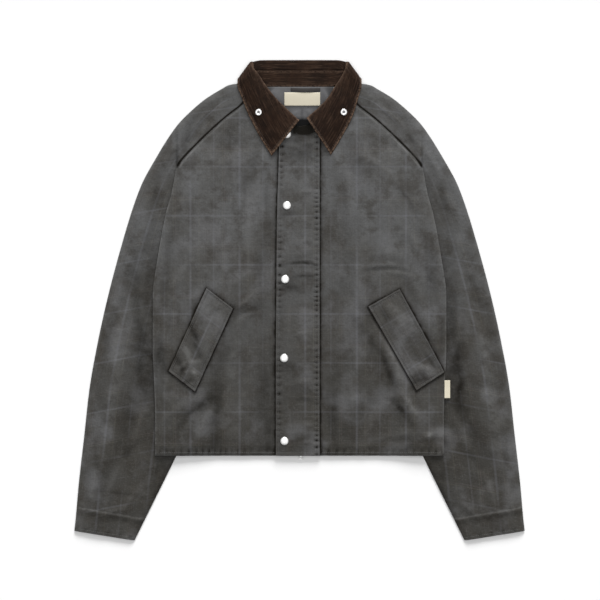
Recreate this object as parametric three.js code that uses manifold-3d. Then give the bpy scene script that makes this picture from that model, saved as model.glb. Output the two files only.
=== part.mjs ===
// A short waxed cotton jacket with raglan sleeves and a corduroy collar, lying flat on its back.
// Millimetres, +Z up, +Y toward the collar, +X to the right of someone looking down on it.
// Right and left in the names are the wearer's, so the wearer's right is on the -X side.
import * as THREE from 'three';
import Module from 'manifold-3d';

const { lerp, smoothstep, clamp } = THREE.MathUtils;

// Driving dimensions
const shellWall = 1.5;
const sleeveAir = 2.0;
const bodyAir = 2.0;
const seamGap = 0.3;
const restGap = 0.5;
const backSeamGap = 0.9;
const collarWall = 2.0;
const standWall = 1.6;
const liningWall = 1.2;
const placketWall = 2.4;
const flapWall = 2.2;
const labelWall = 1.0;
const collarTopY = 443.4;
const cuffTipY = -444;
const hemY = -287;
const underarmY = 244;
const capFoldX = 226;
const backNeckY = 393.5;
const fallLiftHeight = 2.9;
const neckAirExtra = 3.0;
const studRadius = 6.0;
const snapRadius = 7.5;
const snapHeight = 2.4;
const zipHalfWidth = 12.7;
const zipCentreX = 1.0;
const pullWire = 0.6;
const pullHalfWidth = 4.4;
const pullHalfHeight = 2.7;

// Half widths of the jacket at heights Y, both halves alike. x is the distance from the middle.
const outerEdge = [
  { y: -426.4, x: 416.3 }, { y: -407, x: 414 }, { y: -340, x: 408 }, { y: -252, x: 398 },
  { y: -163, x: 388 }, { y: -74, x: 372 }, { y: 15, x: 352 }, { y: 104, x: 328 },
  { y: 170, x: 308 }, { y: 215, x: 291 }, { y: 259, x: 267 }, { y: 303, x: 240 },
  { y: 326, x: 223 }, { y: 348, x: 201 }, { y: 370, x: 175 }, { y: 381, x: 158 },
  { y: 388.5, x: 145 }, { y: 396, x: 130 }, { y: 398.8, x: 109.5 }, { y: 401, x: 97 },
  { y: 403, x: 84.5 },
];
const bodyEdge = [
  { y: -287, x: 265.5 }, { y: -218, x: 265.5 }, { y: -140, x: 268 }, { y: -92, x: 270 },
  { y: 5, x: 270 }, { y: 83, x: 260 }, { y: 163, x: 245 }, { y: 194, x: 236 }, { y: 244, x: 226.8 },
];
const raglanSeam = [
  { y: 244, x: 226.4 }, { y: 255, x: 220 }, { y: 277, x: 201 }, { y: 309, x: 169 },
  { y: 338, x: 137 }, { y: 363, x: 105.5 }, { y: 374, x: 97 }, { y: 381, x: 92 },
];
// The edge of the sleeve that lies under the body, up to the neck along the back raglan seam.
const sleeveInnerEdge = [
  { y: -444, x: 305.3 }, { y: -287, x: 227.6 }, { y: -160, x: 164.8 }, { y: -95, x: 134 },
  { y: -40, x: 121 }, { y: 40, x: 121 }, { y: 110, x: 125 }, { y: 200, x: 124 },
  { y: 300, x: 110 }, { y: 330, x: 102 }, { y: 370, x: 85 }, { y: 394.2, x: 74.2 },
];
// How far the upper ply of the sleeve reaches in under the body, up to the underarm.
const sleeveUpperHiddenEdge = [
  { y: 110, x: 125 }, { y: 150, x: 146 }, { y: 200, x: 190 }, { y: 240, x: 226.8 },
];
const backHiddenEdge = [
  { y: 232, x: 228.8 }, { y: 244, x: 214 }, { y: 262, x: 178 }, { y: 280, x: 140 }, { y: 296, x: 110.2 },
];
// The neck edge of the fronts, from the middle out to the top of the raglan seam.
const frontNeckEdge = [
  { y: 321, x: 2 }, { y: 324.8, x: 20.5 }, { y: 335, x: 43.5 }, { y: 348.5, x: 68.5 },
  { y: 357, x: 80 }, { y: 366.5, x: 86.6 }, { y: 379, x: 87.4 },
];

// Rows of a sleeve from the cuff up: the outer and inner ends of each row, and the cells between.
const upperSleeveRows = [
  { outer: -426.4, inner: -444, cells: 4 }, { outer: -275, inner: -287, cells: 9 },
  { outer: 110, inner: 110, cells: 4 }, { outer: 236, inner: 236, cells: 2 },
  { outer: 250, inner: 250, cells: 6 }, { outer: 363, inner: 363, cells: 4 },
  { outer: 403, inner: 381, cells: 0 },
];
const lowerSleeveRows = [
  { outer: -426.4, inner: -444, cells: 3 }, { outer: -275, inner: -287, cells: 8 },
  { outer: 110, inner: 110, cells: 11 }, { outer: 363, inner: 363, cells: 4 },
  { outer: 403, inner: 394.2, cells: 0 },
];

// Stations of the collar on one half, from the middle of the back to the front end.
// N is its neck edge, R the outside of its roll, E its free edge. turn is 180 where the
// collar lies behind the back and 0 where it lies on the fronts.
const collarBack = [
  { nx: 0, ny: 394, nz: 3.6, rx: 0, ry: 443.4, rz: 2.3, ex: 0, ey: 386, ez: 1.0, turn: 180, roll: 1.3 },
  { nx: 40, ny: 394, nz: 3.6, rx: 44, ry: 443.4, rz: 2.3, ex: 46, ey: 386, ez: 1.0, turn: 180, roll: 1.3 },
  { nx: 60, ny: 395, nz: 3.6, rx: 70, ry: 443.2, rz: 2.3, ex: 80, ey: 387, ez: 1.0, turn: 176, roll: 1.3 },
  { nx: 73.8, ny: 401, nz: 3.4, rx: 85.2, ry: 440.5, rz: 2.9, ex: 109.2, ey: 396.3, ez: 1.0, turn: 143, roll: 1.3 },
];
const collarLeftFront = [
  { nx: 80.4, ny: 407.3, nz: 3.9, rx: 89, ry: 440.8, rz: 8.1, ex: 114.4, ey: 406.9, ez: 5.7, turn: 90, roll: 2.8 },
  { nx: 81.7, ny: 399.8, nz: 6.6, rx: 86.1, ry: 430.5, rz: 14.1, ex: 114.6, ey: 395.4, ez: 10.1, turn: 36, roll: 3.8 },
  { nx: 82.5, ny: 384, nz: 8.2, rx: 77, ry: 412, rz: 13.2, ex: 108, ey: 371, ez: 9.6, turn: 10, roll: 2.7 },
  { nx: 84.4, ny: 366.5, nz: 8.0, rx: 64.8, ry: 393, rz: 13.6, ex: 101, ey: 347, ez: 8.8, turn: 0, roll: 2.9 },
  { nx: 66.4, ny: 351.5, nz: 8.0, rx: 49.8, ry: 370, rz: 14.2, ex: 91, ey: 324, ez: 9.0, turn: 0, roll: 2.9 },
  { nx: 42.2, ny: 338.6, nz: 8.2, rx: 31, ry: 351, rz: 14.2, ex: 76, ey: 297, ez: 7.4, turn: 0, roll: 2.8 },
  { nx: 19.6, ny: 328.6, nz: 9.0, rx: 12.5, ry: 335.5, rz: 14.0, ex: 58, ey: 267.2, ez: 7.0, turn: 0, roll: 2.6 },
];
const collarRightFront = [
  { nx: 80.4, ny: 407.3, nz: 3.9, rx: 89, ry: 440.8, rz: 8.1, ex: 114.4, ey: 406.9, ez: 5.7, turn: 90, roll: 2.8 },
  { nx: 81.7, ny: 399.8, nz: 6.6, rx: 86.1, ry: 430.5, rz: 14.1, ex: 114.6, ey: 395.4, ez: 10.1, turn: 36, roll: 3.8 },
  { nx: 82.5, ny: 384, nz: 8.2, rx: 75.5, ry: 416, rz: 13.2, ex: 106.6, ey: 373, ez: 9.6, turn: 10, roll: 2.7 },
  { nx: 84.4, ny: 366.5, nz: 8.0, rx: 62.5, ry: 396.5, rz: 13.6, ex: 97.5, ey: 349, ez: 8.8, turn: 0, roll: 2.9 },
  { nx: 66.4, ny: 351.5, nz: 8.0, rx: 44, ry: 373, rz: 14.2, ex: 86, ey: 325, ez: 9.0, turn: 0, roll: 2.9 },
  { nx: 42.2, ny: 338.6, nz: 8.2, rx: 21.5, ry: 350.5, rz: 14.2, ex: 70, ey: 295, ez: 8.2, turn: 0, roll: 2.8 },
  { nx: 19.6, ny: 328.6, nz: 9.0, rx: 0.2, ry: 331, rz: 14.0, ex: 51.6, ey: 265.6, ez: 8.4, turn: 0, roll: 2.6 },
];

// The largest soft folds of the upper plies: middle, direction in degrees, half length, half
// width and height.
const folds = [
  { x: -150, y: 60, angle: 76, length: 120, width: 34, height: 1.5 },
  { x: -110, y: -200, angle: 60, length: 110, width: 32, height: 1.3 },
  { x: -215, y: -215, angle: -28, length: 60, width: 28, height: 1.2 },
  { x: -190, y: 190, angle: 40, length: 70, width: 30, height: 1.1 },
  { x: 165, y: -60, angle: -62, length: 110, width: 32, height: 1.5 },
  { x: 105, y: -190, angle: 70, length: 110, width: 34, height: 1.2 },
  { x: 210, y: -230, angle: 12, length: 70, width: 28, height: 1.2 },
  { x: 180, y: 170, angle: -38, length: 80, width: 30, height: 1.1 },
  { x: -325, y: -120, angle: 70, length: 150, width: 30, height: 1.6 },
  { x: -365, y: -330, angle: 86, length: 90, width: 28, height: 1.4 },
  { x: 322, y: -90, angle: -68, length: 150, width: 30, height: 1.6 },
  { x: 368, y: -335, angle: -84, length: 90, width: 28, height: 1.4 },
];

const placketEdges = [
  { y: -287, left: -44.4, right: 38 }, { y: -111, left: -44.4, right: 38 }, { y: 0, left: -43.5, right: 38 },
  { y: 130, left: -42.6, right: 38 }, { y: 265, left: -38.9, right: 38 }, { y: 335, left: -37, right: 38 },
];
const snapPlaces = [
  { name: 'snap_1', x: -23, y: 306 }, { name: 'snap_2', x: -23.3, y: 174.6 },
  { name: 'snap_3', x: -26.6, y: 38.3 }, { name: 'snap_4', x: -28.3, y: -107.3 },
  { name: 'snap_5', x: -27.8, y: -260.3 },
];
// Corners of each pocket flap, in order round it.
const flapRight = [
  { x: -171.7, y: 23.5 }, { x: -121.5, y: -15.4 }, { x: -192.2, y: -170.4 }, { x: -242.5, y: -131.5 },
];
const flapLeft = [
  { x: 125.4, y: -11.8 }, { x: 184.8, y: 21.5 }, { x: 268.3, y: -133.6 }, { x: 215.3, y: -168.2 },
];
const neckLabel = { left: -28, right: 38, bottom: 358.7, top: 383 };
const hangerLoop = { left: -16, right: 38, bottom: 385.6, top: 391.4, rise: 1.6 };
const liningArea = { halfWidth: 62, bottom: 300, top: 393.2 };
const sideTab = { left: 267.7, right: 277.5, bottom: -180.9, top: -148.4 };
const slider = { halfWidth: 4, top: -277, bottom: -286, low: 3.1, high: 4.9 };
const pullHinge = { x: 2.6, y: -288.7, z: 3.9, noseRadius: 1.9, holeRadius: 1.2, noseHalfWidth: 1.5 };

const colours = {
  shell: { color: 0x55534f, roughness: 0.55, metalness: 0 },
  sleeve: { color: 0x504e4a, roughness: 0.55, metalness: 0 },
  corduroy: { color: 0x33241d, roughness: 0.9, metalness: 0 },
  lining: { color: 0x77746f, roughness: 0.8, metalness: 0 },
  cream: { color: 0xddd5c0, roughness: 0.85, metalness: 0 },
  metal: { color: 0xdcdcd8, roughness: 0.3, metalness: 0.9 },
  zip: { color: 0x2c2a28, roughness: 0.7, metalness: 0 },
};

// The slope of one column at a row, limited so that the curve never overshoots its rows.
function rowSlope(rows, key, column, i) {
  const step = (a, b) => (rows[b][column] - rows[a][column]) / (rows[b][key] - rows[a][key]);
  if (i === 0) return step(0, 1);
  if (i === rows.length - 1) return step(i - 1, i);
  const before = step(i - 1, i);
  const after = step(i, i + 1);
  return before * after <= 0 ? 0 : (2 * before * after) / (before + after);
}

// One column of a table read at any value of its key, along a smooth curve.
function along(rows, key, column, at) {
  const value = clamp(at, rows[0][key], rows[rows.length - 1][key]);
  let i = 0;
  while (i < rows.length - 2 && value > rows[i + 1][key]) i += 1;
  const span = rows[i + 1][key] - rows[i][key];
  const t = (value - rows[i][key]) / span;
  const startSlope = rowSlope(rows, key, column, i) * span;
  const endSlope = rowSlope(rows, key, column, i + 1) * span;
  const a = rows[i][column];
  const b = rows[i + 1][column];
  return a * (2 * t ** 3 - 3 * t ** 2 + 1) + startSlope * (t ** 3 - 2 * t ** 2 + t)
    + b * (3 * t ** 2 - 2 * t ** 3) + endSlope * (t ** 3 - t ** 2);
}

const widthAt = (rows, y) => along(rows, 'y', 'x', y);

// Distance square to an edge, from a point at half width x.
function edgeDistance(rows, x, y) {
  const slope = (widthAt(rows, y + 1) - widthAt(rows, y - 1)) / 2;
  return Math.abs(widthAt(rows, y) - x) / Math.hypot(1, slope);
}

// How far an upper ply has closed down onto the ply below it, 1 at the edge itself.
function closing(distance, reach) {
  return distance >= reach ? 0 : (1 - distance / reach) ** 2;
}

// The back of the collar lies under the neck, so the plies above it lie higher there.
function fallLift(x, y) {
  return fallLiftHeight * smoothstep(y, 342, 384) * (1 - smoothstep(Math.abs(x), 124, 150));
}

// The height that the sleeve under the body adds.
function sleeveStack(y) {
  const full = 2 * shellWall + sleeveAir + restGap;
  const single = shellWall + restGap;
  return lerp(lerp(full, single, smoothstep(y, 250, 294)), 0, smoothstep(y, 296, 334));
}

function backBottom(x, y) {
  const inner = widthAt(sleeveInnerEdge, y);
  const rise = smoothstep(Math.abs(x), inner - 60, inner - 2);
  return fallLift(x, y) + sleeveStack(y) * rise;
}

// Height of a fold's ridge over the plain ply, fading along its length.
function foldHeight(x, y) {
  let height = 0;
  for (const fold of folds) {
    const turn = THREE.MathUtils.degToRad(fold.angle);
    const dx = x - fold.x;
    const dy = y - fold.y;
    const lengthwise = dx * Math.cos(turn) + dy * Math.sin(turn);
    const across = dy * Math.cos(turn) - dx * Math.sin(turn);
    height += fold.height * Math.exp(-((across / fold.width) ** 2) - (lengthwise / fold.length) ** 2);
  }
  return height;
}

// Height of the fronts without their folds, carried on past the raglan seam over the sleeve head.
function upperDeck(x, y) {
  const inner = widthAt(sleeveInnerEdge, y);
  const rise = smoothstep(Math.abs(x), inner - 90, inner + 20);
  const neckAir = neckAirExtra * smoothstep(y, 290, 330) * (1 - smoothstep(Math.abs(x), 70, 115));
  return fallLift(x, y) + sleeveStack(y) * rise + shellWall + bodyAir + neckAir;
}

// Distance of a place on a front from its side seam or, higher up, from its raglan seam.
function frontEdgeDistance(x, y) {
  return edgeDistance(y < underarmY ? bodyEdge : raglanSeam, Math.abs(x), y);
}

// A front with its folds, before it closes down at the side seam.
function frontOpen(x, y) {
  const foldShare = smoothstep(frontEdgeDistance(x, y), 4, 34) * (1 - smoothstep(y, 270, 310));
  return upperDeck(x, y) + foldHeight(x, y) * foldShare;
}

function frontBottom(x, y) {
  const sideSeam = closing(frontEdgeDistance(x, y), 9) * (1 - smoothstep(y, 232, 248));
  return frontOpen(x, y) - sideSeam * (bodyAir - seamGap);
}

const frontTop = (x, y) => frontBottom(x, y) + shellWall;

function upperSleeveBottom(x, y) {
  const half = Math.abs(x);
  const lower = fallLift(x, y) + shellWall + sleeveAir;
  const capShare = smoothstep(y, 243, 256) * (1 - smoothstep(half, capFoldX - 4, capFoldX + 4));
  const open = smoothstep(half - widthAt(bodyEdge, y), 4, 34) * (1 - smoothstep(y, 150, 230));
  const outerClose = closing(edgeDistance(outerEdge, half, y), lerp(8, 20, smoothstep(y, 365, 395)));
  const innerClose = y < 120 ? closing(half - widthAt(sleeveInnerEdge, y), 8) : 0;
  const foldShare = open * smoothstep(edgeDistance(outerEdge, half, y), 4, 30);
  return lerp(lower, upperDeck(x, y), capShare) + foldHeight(x, y) * foldShare
    - Math.max(outerClose, innerClose) * (sleeveAir - seamGap);
}

// A closed wall through a grid of points on its middle surface. Each row has as many points.
function wallThrough(grid, wall) {
  const rows = grid.length;
  const columns = grid[0].length;
  const positions = [];
  const side = (sign) => {
    for (let r = 0; r < rows; r += 1) {
      for (let c = 0; c < columns; c += 1) {
        const alongRow = grid[r][Math.min(c + 1, columns - 1)].clone().sub(grid[r][Math.max(c - 1, 0)]);
        const alongColumn = grid[Math.min(r + 1, rows - 1)][c].clone().sub(grid[Math.max(r - 1, 0)][c]);
        const normal = alongRow.cross(alongColumn).normalize();
        const point = grid[r][c].clone().addScaledVector(normal, (sign * wall) / 2);
        positions.push(point.x, point.y, point.z);
      }
    }
  };
  side(1);
  side(-1);
  const count = rows * columns;
  const index = [];
  const quad = (a, b, c, d) => index.push(a, b, c, a, c, d);
  for (let r = 0; r < rows - 1; r += 1) {
    for (let c = 0; c < columns - 1; c += 1) {
      const a = r * columns + c;
      quad(a, a + 1, a + columns + 1, a + columns);
      quad(count + a, count + a + columns, count + a + columns + 1, count + a + 1);
    }
  }
  const rim = [];
  for (let c = 0; c < columns - 1; c += 1) rim.push(c);
  for (let r = 0; r < rows - 1; r += 1) rim.push(r * columns + columns - 1);
  for (let c = columns - 1; c > 0; c -= 1) rim.push((rows - 1) * columns + c);
  for (let r = rows - 1; r > 0; r -= 1) rim.push(r * columns);
  rim.forEach((a, i) => {
    const b = rim[(i + 1) % rim.length];
    quad(a, a + count, b + count, b);
  });
  const geometry = new THREE.BufferGeometry();
  geometry.setAttribute('position', new THREE.Float32BufferAttribute(positions, 3));
  geometry.setIndex(index);
  return facingOut(geometry);
}

// Turns the faces round if they point in.
function facingOut(geometry) {
  const position = geometry.getAttribute('position');
  const index = geometry.getIndex().array;
  const corner = (i) => new THREE.Vector3().fromBufferAttribute(position, index[i]);
  let volume = 0;
  for (let i = 0; i < index.length; i += 3) {
    volume += corner(i).dot(corner(i + 1).cross(corner(i + 2)));
  }
  if (volume < 0) {
    for (let i = 0; i < index.length; i += 3) {
      [index[i + 1], index[i + 2]] = [index[i + 2], index[i + 1]];
    }
  }
  geometry.computeVertexNormals();
  return geometry;
}

// A grid from two functions of a share along (0 to 1) and a share across (0 to 1).
function gridOf(rows, columns, place) {
  const grid = [];
  for (let r = 0; r <= rows; r += 1) {
    const line = [];
    for (let c = 0; c <= columns; c += 1) line.push(place(r / rows, c / columns));
    grid.push(line);
  }
  return grid;
}

const denseAtEnds = (share) => 0.5 - 0.5 * Math.cos(Math.PI * share);

// Heights of the body's rows, closer together above the underarm.
function bodyRows(top) {
  const rows = [];
  for (let i = 0; i < 17; i += 1) rows.push(lerp(hemY, underarmY, i / 17));
  for (let i = 0; i <= 10; i += 1) rows.push(lerp(underarmY, top, i / 10));
  return rows;
}

function backOuter(y) {
  if (y > 296) return widthAt(sleeveInnerEdge, y) - backSeamGap;
  return y > 232 ? widthAt(backHiddenEdge, y) : widthAt(bodyEdge, y);
}

function backGeometry() {
  const grid = bodyRows(backNeckY).map((y) => {
    const outer = backOuter(y);
    const inner = widthAt(sleeveInnerEdge, y);
    const flat = Math.min(inner - 60, outer * 0.4);
    const stepEnd = Math.min(inner, outer * 0.75);
    const half = [];
    for (let i = 1; i <= 3; i += 1) half.push((flat * i) / 3);
    for (let i = 1; i <= 4; i += 1) half.push(lerp(flat, stepEnd, i / 4));
    for (let i = 1; i <= 4; i += 1) half.push(lerp(stepEnd, outer, i / 4));
    const across = [...half.map((x) => -x).reverse(), 0, ...half];
    return across.map((x) => new THREE.Vector3(x, y, backBottom(x, y) + shellWall / 2));
  });
  return wallThrough(grid, shellWall);
}

function frontGeometry(side) {
  const centreEdge = zipCentreX + side * (zipHalfWidth + seamGap);
  const columns = 12;
  const grid = bodyRows(378.5).map((y) => {
    const outer = y < underarmY ? widthAt(bodyEdge, y) : widthAt(raglanSeam, y) - 2 * seamGap;
    const inner = Math.max(side * centreEdge, y > 321 ? widthAt(frontNeckEdge, y) : 0);
    const line = [];
    for (let c = 0; c <= columns; c += 1) {
      const x = side * lerp(inner, outer, Math.sin((Math.PI / 2) * (c / columns)));
      line.push(new THREE.Vector3(x, y, frontBottom(x, y) + shellWall / 2));
    }
    return line;
  });
  return wallThrough(grid, shellWall);
}

// Outer and inner heights of each row of a sleeve, from its table.
function sleeveRowEnds(table) {
  const ends = [];
  for (let i = 0; i < table.length - 1; i += 1) {
    for (let cell = 0; cell < table[i].cells; cell += 1) {
      const share = cell / table[i].cells;
      ends.push({
        outer: lerp(table[i].outer, table[i + 1].outer, share),
        inner: lerp(table[i].inner, table[i + 1].inner, share),
      });
    }
  }
  ends.push(table[table.length - 1]);
  return ends;
}

function upperSleeveInner(y) {
  if (y < 110) return widthAt(sleeveInnerEdge, y);
  return y < 240 ? widthAt(sleeveUpperHiddenEdge, y) : widthAt(raglanSeam, Math.max(y, 244)) + seamGap;
}

function sleeveGrid(table, side, columns, innerWidth, bottom) {
  return sleeveRowEnds(table).map((row) => {
    const outerX = widthAt(outerEdge, row.outer);
    const innerX = innerWidth(row.inner);
    const line = [];
    for (let c = 0; c <= columns; c += 1) {
      const share = denseAtEnds(c / columns);
      const x = side * lerp(innerX, outerX, share);
      const y = lerp(row.inner, row.outer, share);
      line.push(new THREE.Vector3(x, y, bottom(x, y) + shellWall / 2));
    }
    return line;
  });
}

function upperSleeveGeometry(side) {
  return wallThrough(sleeveGrid(upperSleeveRows, side, 11, upperSleeveInner, upperSleeveBottom), shellWall);
}

function lowerSleeveGeometry(side) {
  const inner = (y) => widthAt(sleeveInnerEdge, y);
  return wallThrough(sleeveGrid(lowerSleeveRows, side, 6, inner, fallLift), shellWall);
}

// All stations of the collar in order, from the wearer's right end round the back to the left.
const collarStations = [
  ...[...collarBack.slice(1), ...collarRightFront].reverse()
    .map((row) => ({ ...row, nx: -row.nx, rx: -row.rx, ex: -row.ex })),
  ...collarBack,
  ...collarLeftFront,
].map((row, i) => ({ ...row, at: i }));
const lastStation = collarStations.length - 1;

// A point of the collar's middle surface. across runs 0 to 1 up the stand, 1 to 2 round the
// roll and 2 to 3 down the fall.
function collarPoint(station, across) {
  const value = (column) => along(collarStations, 'at', column, station);
  const turn = THREE.MathUtils.degToRad(value('turn'));
  const neck = new THREE.Vector3(value('nx'), value('ny'), value('nz'));
  const edge = new THREE.Vector3(value('ex'), value('ey'), value('ez'));
  const outside = new THREE.Vector3(value('rx'), value('ry'), value('rz'));
  const away = new THREE.Vector3(outside.x - edge.x, outside.y - edge.y, 0).normalize();
  const sideways = new THREE.Vector3(Math.sign(value('rx')) * Math.abs(away.y), Math.abs(away.x), 0);
  const normal = sideways.multiplyScalar(Math.sin(turn)).setZ(Math.cos(turn)).normalize();
  const roll = value('roll');
  const centre = outside.clone().addScaledVector(away, -(roll + collarWall / 2));
  if (Math.sin(turn) > 0.5) centre.addScaledVector(normal, -roll * Math.sin(turn));
  const standTop = centre.clone().addScaledVector(normal, -roll);
  const fallTop = centre.clone().addScaledVector(normal, roll);
  if (across <= 1) return neck.lerp(standTop, across);
  if (across >= 2) {
    const share = across - 2;
    const puff = 1.4 * Math.max(0, Math.cos(turn)) * Math.sin(Math.PI * share);
    return fallTop.lerp(edge, share).add(new THREE.Vector3(0, 0, puff));
  }
  const angle = Math.PI * (across - 1);
  return centre.addScaledVector(normal, -roll * Math.cos(angle)).addScaledVector(away, roll * Math.sin(angle));
}

function collarGrid(acrossValues) {
  const grid = [];
  for (let i = 0; i <= lastStation * 2; i += 1) {
    grid.push(acrossValues.map((across) => collarPoint(i / 2, across)));
  }
  return grid;
}

const seamOnStand = 0.67;
const standAcross = [0, 0.3, seamOnStand - 0.04];
const leafAcross = [seamOnStand, 0.84, 1, 1.25, 1.5, 1.75, 2, 2.25, 2.5, 2.75, 3];

// The point of the collar's fall nearest to a place seen from above, with the way it faces.
function fallPointNear(x, y) {
  let best = { distance: Infinity };
  for (let station = 0; station <= lastStation; station += 0.05) {
    for (let across = 2.05; across < 3; across += 0.02) {
      const point = collarPoint(station, across);
      const distance = Math.hypot(point.x - x, point.y - y) + (point.z < 5 ? 100 : 0);
      if (distance < best.distance) best = { distance, station, across, point };
    }
  }
  const alongStation = collarPoint(best.station + 0.1, best.across).sub(best.point);
  const alongFall = collarPoint(best.station, best.across + 0.03).sub(best.point);
  const normal = alongStation.cross(alongFall).normalize();
  if (normal.z < 0) normal.negate();
  return { point: best.point, normal };
}

// The way a height field faces at a place.
function facingAt(height, x, y) {
  const step = 4;
  const slopeX = (height(x + step, y) - height(x - step, y)) / (2 * step);
  const slopeY = (height(x, y + step) - height(x, y - step)) / (2 * step);
  return new THREE.Vector3(-slopeX, -slopeY, 1).normalize();
}

const placketBottom = (x, y) => frontTop(x, y) + restGap;
const placketTop = (x, y) => placketBottom(x, y) + placketWall;

function neckHeightAt(x) {
  const byX = frontNeckEdge.map((row) => ({ x: row.x, y: row.y }));
  return along(byX, 'x', 'y', Math.abs(x)) - 1.0;
}

function placketGeometry() {
  const rows = bodyRows(321).filter((y) => y < 300);
  rows.push(304);
  const columns = 6;
  const grid = rows.map((y) => {
    const line = [];
    for (let c = 0; c <= columns; c += 1) {
      const left = along(placketEdges, 'y', 'left', y);
      const right = along(placketEdges, 'y', 'right', y);
      const x = lerp(left, right, c / columns);
      line.push(new THREE.Vector3(x, y, placketBottom(x, y) + placketWall / 2));
    }
    return line;
  });
  const last = grid[grid.length - 1];
  for (const share of [0.5, 1]) {
    grid.push(last.map((point) => {
      const y = lerp(point.y, neckHeightAt(point.x), share);
      return new THREE.Vector3(point.x, y, placketBottom(point.x, y) + placketWall / 2);
    }));
  }
  return wallThrough(grid, placketWall);
}

function flapGeometry(corners) {
  const bottom = (x, y) => frontOpen(x, y) + shellWall + restGap;
  const grid = gridOf(11, 5, (down, across) => {
    const x = lerp(lerp(corners[0].x, corners[1].x, across), lerp(corners[3].x, corners[2].x, across), down);
    const y = lerp(lerp(corners[0].y, corners[1].y, across), lerp(corners[3].y, corners[2].y, across), down);
    return new THREE.Vector3(x, y, bottom(x, y) + flapWall / 2);
  });
  return wallThrough(grid, flapWall);
}

const liningTop = (x, y) => backBottom(x, y) + shellWall + restGap + liningWall;

function liningGeometry() {
  const grid = gridOf(7, 6, (up, across) => {
    const x = lerp(-liningArea.halfWidth, liningArea.halfWidth, across);
    const y = lerp(liningArea.bottom, liningArea.top, up);
    return new THREE.Vector3(x, y, liningTop(x, y) - liningWall / 2);
  });
  return wallThrough(grid, liningWall);
}

function labelGeometry() {
  const grid = gridOf(3, 4, (up, across) => {
    const x = lerp(neckLabel.left, neckLabel.right, across);
    const y = lerp(neckLabel.bottom, neckLabel.top, up);
    return new THREE.Vector3(x, y, liningTop(x, y) + seamGap + labelWall / 2);
  });
  return wallThrough(grid, labelWall);
}

function hangerLoopGeometry() {
  const grid = gridOf(1, 8, (up, across) => {
    const x = lerp(hangerLoop.left, hangerLoop.right, across);
    const y = lerp(hangerLoop.bottom, hangerLoop.top, up);
    const arch = hangerLoop.rise * Math.sin(Math.PI * across);
    return new THREE.Vector3(x, y, liningTop(x, y) + seamGap + labelWall / 2 + arch);
  });
  return wallThrough(grid, labelWall);
}

function sideTabGeometry() {
  const grid = gridOf(4, 4, (up, across) => {
    const x = lerp(sideTab.left, sideTab.right, across);
    const y = lerp(sideTab.bottom, sideTab.top, up);
    const edge = widthAt(bodyEdge, y) + 1.4;
    const onBody = frontTop(Math.min(x, edge), y) + seamGap;
    const drop = 2.4 * smoothstep(x, edge, edge + 8);
    return new THREE.Vector3(x, y, onBody + labelWall / 2 - drop);
  });
  return wallThrough(grid, labelWall);
}

function zipGeometry() {
  const grid = gridOf(24, 2, (up, across) => {
    const x = lerp(zipCentreX - zipHalfWidth, zipCentreX + zipHalfWidth, across);
    const y = lerp(slider.top + seamGap, neckHeightAt(x) - 3, up);
    return new THREE.Vector3(x, y, frontBottom(x, y) + shellWall / 2);
  });
  return wallThrough(grid, shellWall);
}

// A turned cap from its half section, radius and height in turn.
function turnedGeometry(section, segments) {
  const points = section.map(([radius, height]) => new THREE.Vector2(radius, height));
  return new THREE.LatheGeometry(points, segments).rotateX(Math.PI / 2);
}

const snapSection = [
  [0, 0], [snapRadius - 0.4, 0], [snapRadius, 0.5], [snapRadius - 0.3, 1.2],
  [snapRadius * 0.7, 2.1], [0, snapHeight],
];
const studSection = [
  [0, 0], [studRadius - 0.3, 0], [studRadius, 0.5], [studRadius - 0.5, 1.4],
  [studRadius * 0.72, 1.6], [studRadius * 0.52, 0.9], [0, 0.9],
];

const wasm = await Module();
wasm.setup();

function toSolid(geometry) {
  const bare = new THREE.BufferGeometry();
  bare.setAttribute('position', geometry.getAttribute('position').clone());
  const position = bare.getAttribute('position');
  const source = geometry.getIndex() ? Array.from(geometry.getIndex().array)
    : Array.from({ length: position.count }, (_, i) => i);
  const places = new Map();
  const vertices = [];
  const triangles = source.map((i) => {
    const key = [position.getX(i), position.getY(i), position.getZ(i)].map((v) => v.toFixed(3)).join();
    if (!places.has(key)) {
      places.set(key, vertices.length / 3);
      vertices.push(position.getX(i), position.getY(i), position.getZ(i));
    }
    return places.get(key);
  });
  return new wasm.Manifold(new wasm.Mesh({
    numProp: 3, vertProperties: new Float32Array(vertices), triVerts: new Uint32Array(triangles),
  }));
}

function fromSolid(solid) {
  const mesh = solid.getMesh();
  const geometry = new THREE.BufferGeometry();
  geometry.setAttribute('position', new THREE.Float32BufferAttribute(Array.from(mesh.vertProperties), 3));
  geometry.setIndex(Array.from(mesh.triVerts));
  geometry.computeVertexNormals();
  return geometry;
}

// A piece less the room that the collar's leaf needs, with the seam's gap all round the leaf.
function clearOfLeaf(geometry) {
  const room = wallThrough(collarGrid(leafAcross), collarWall + 2 * seamGap);
  const pieces = toSolid(geometry).subtract(toSolid(room)).decompose();
  pieces.sort((a, b) => b.volume() - a.volume());
  return fromSolid(pieces[0]);
}

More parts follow.
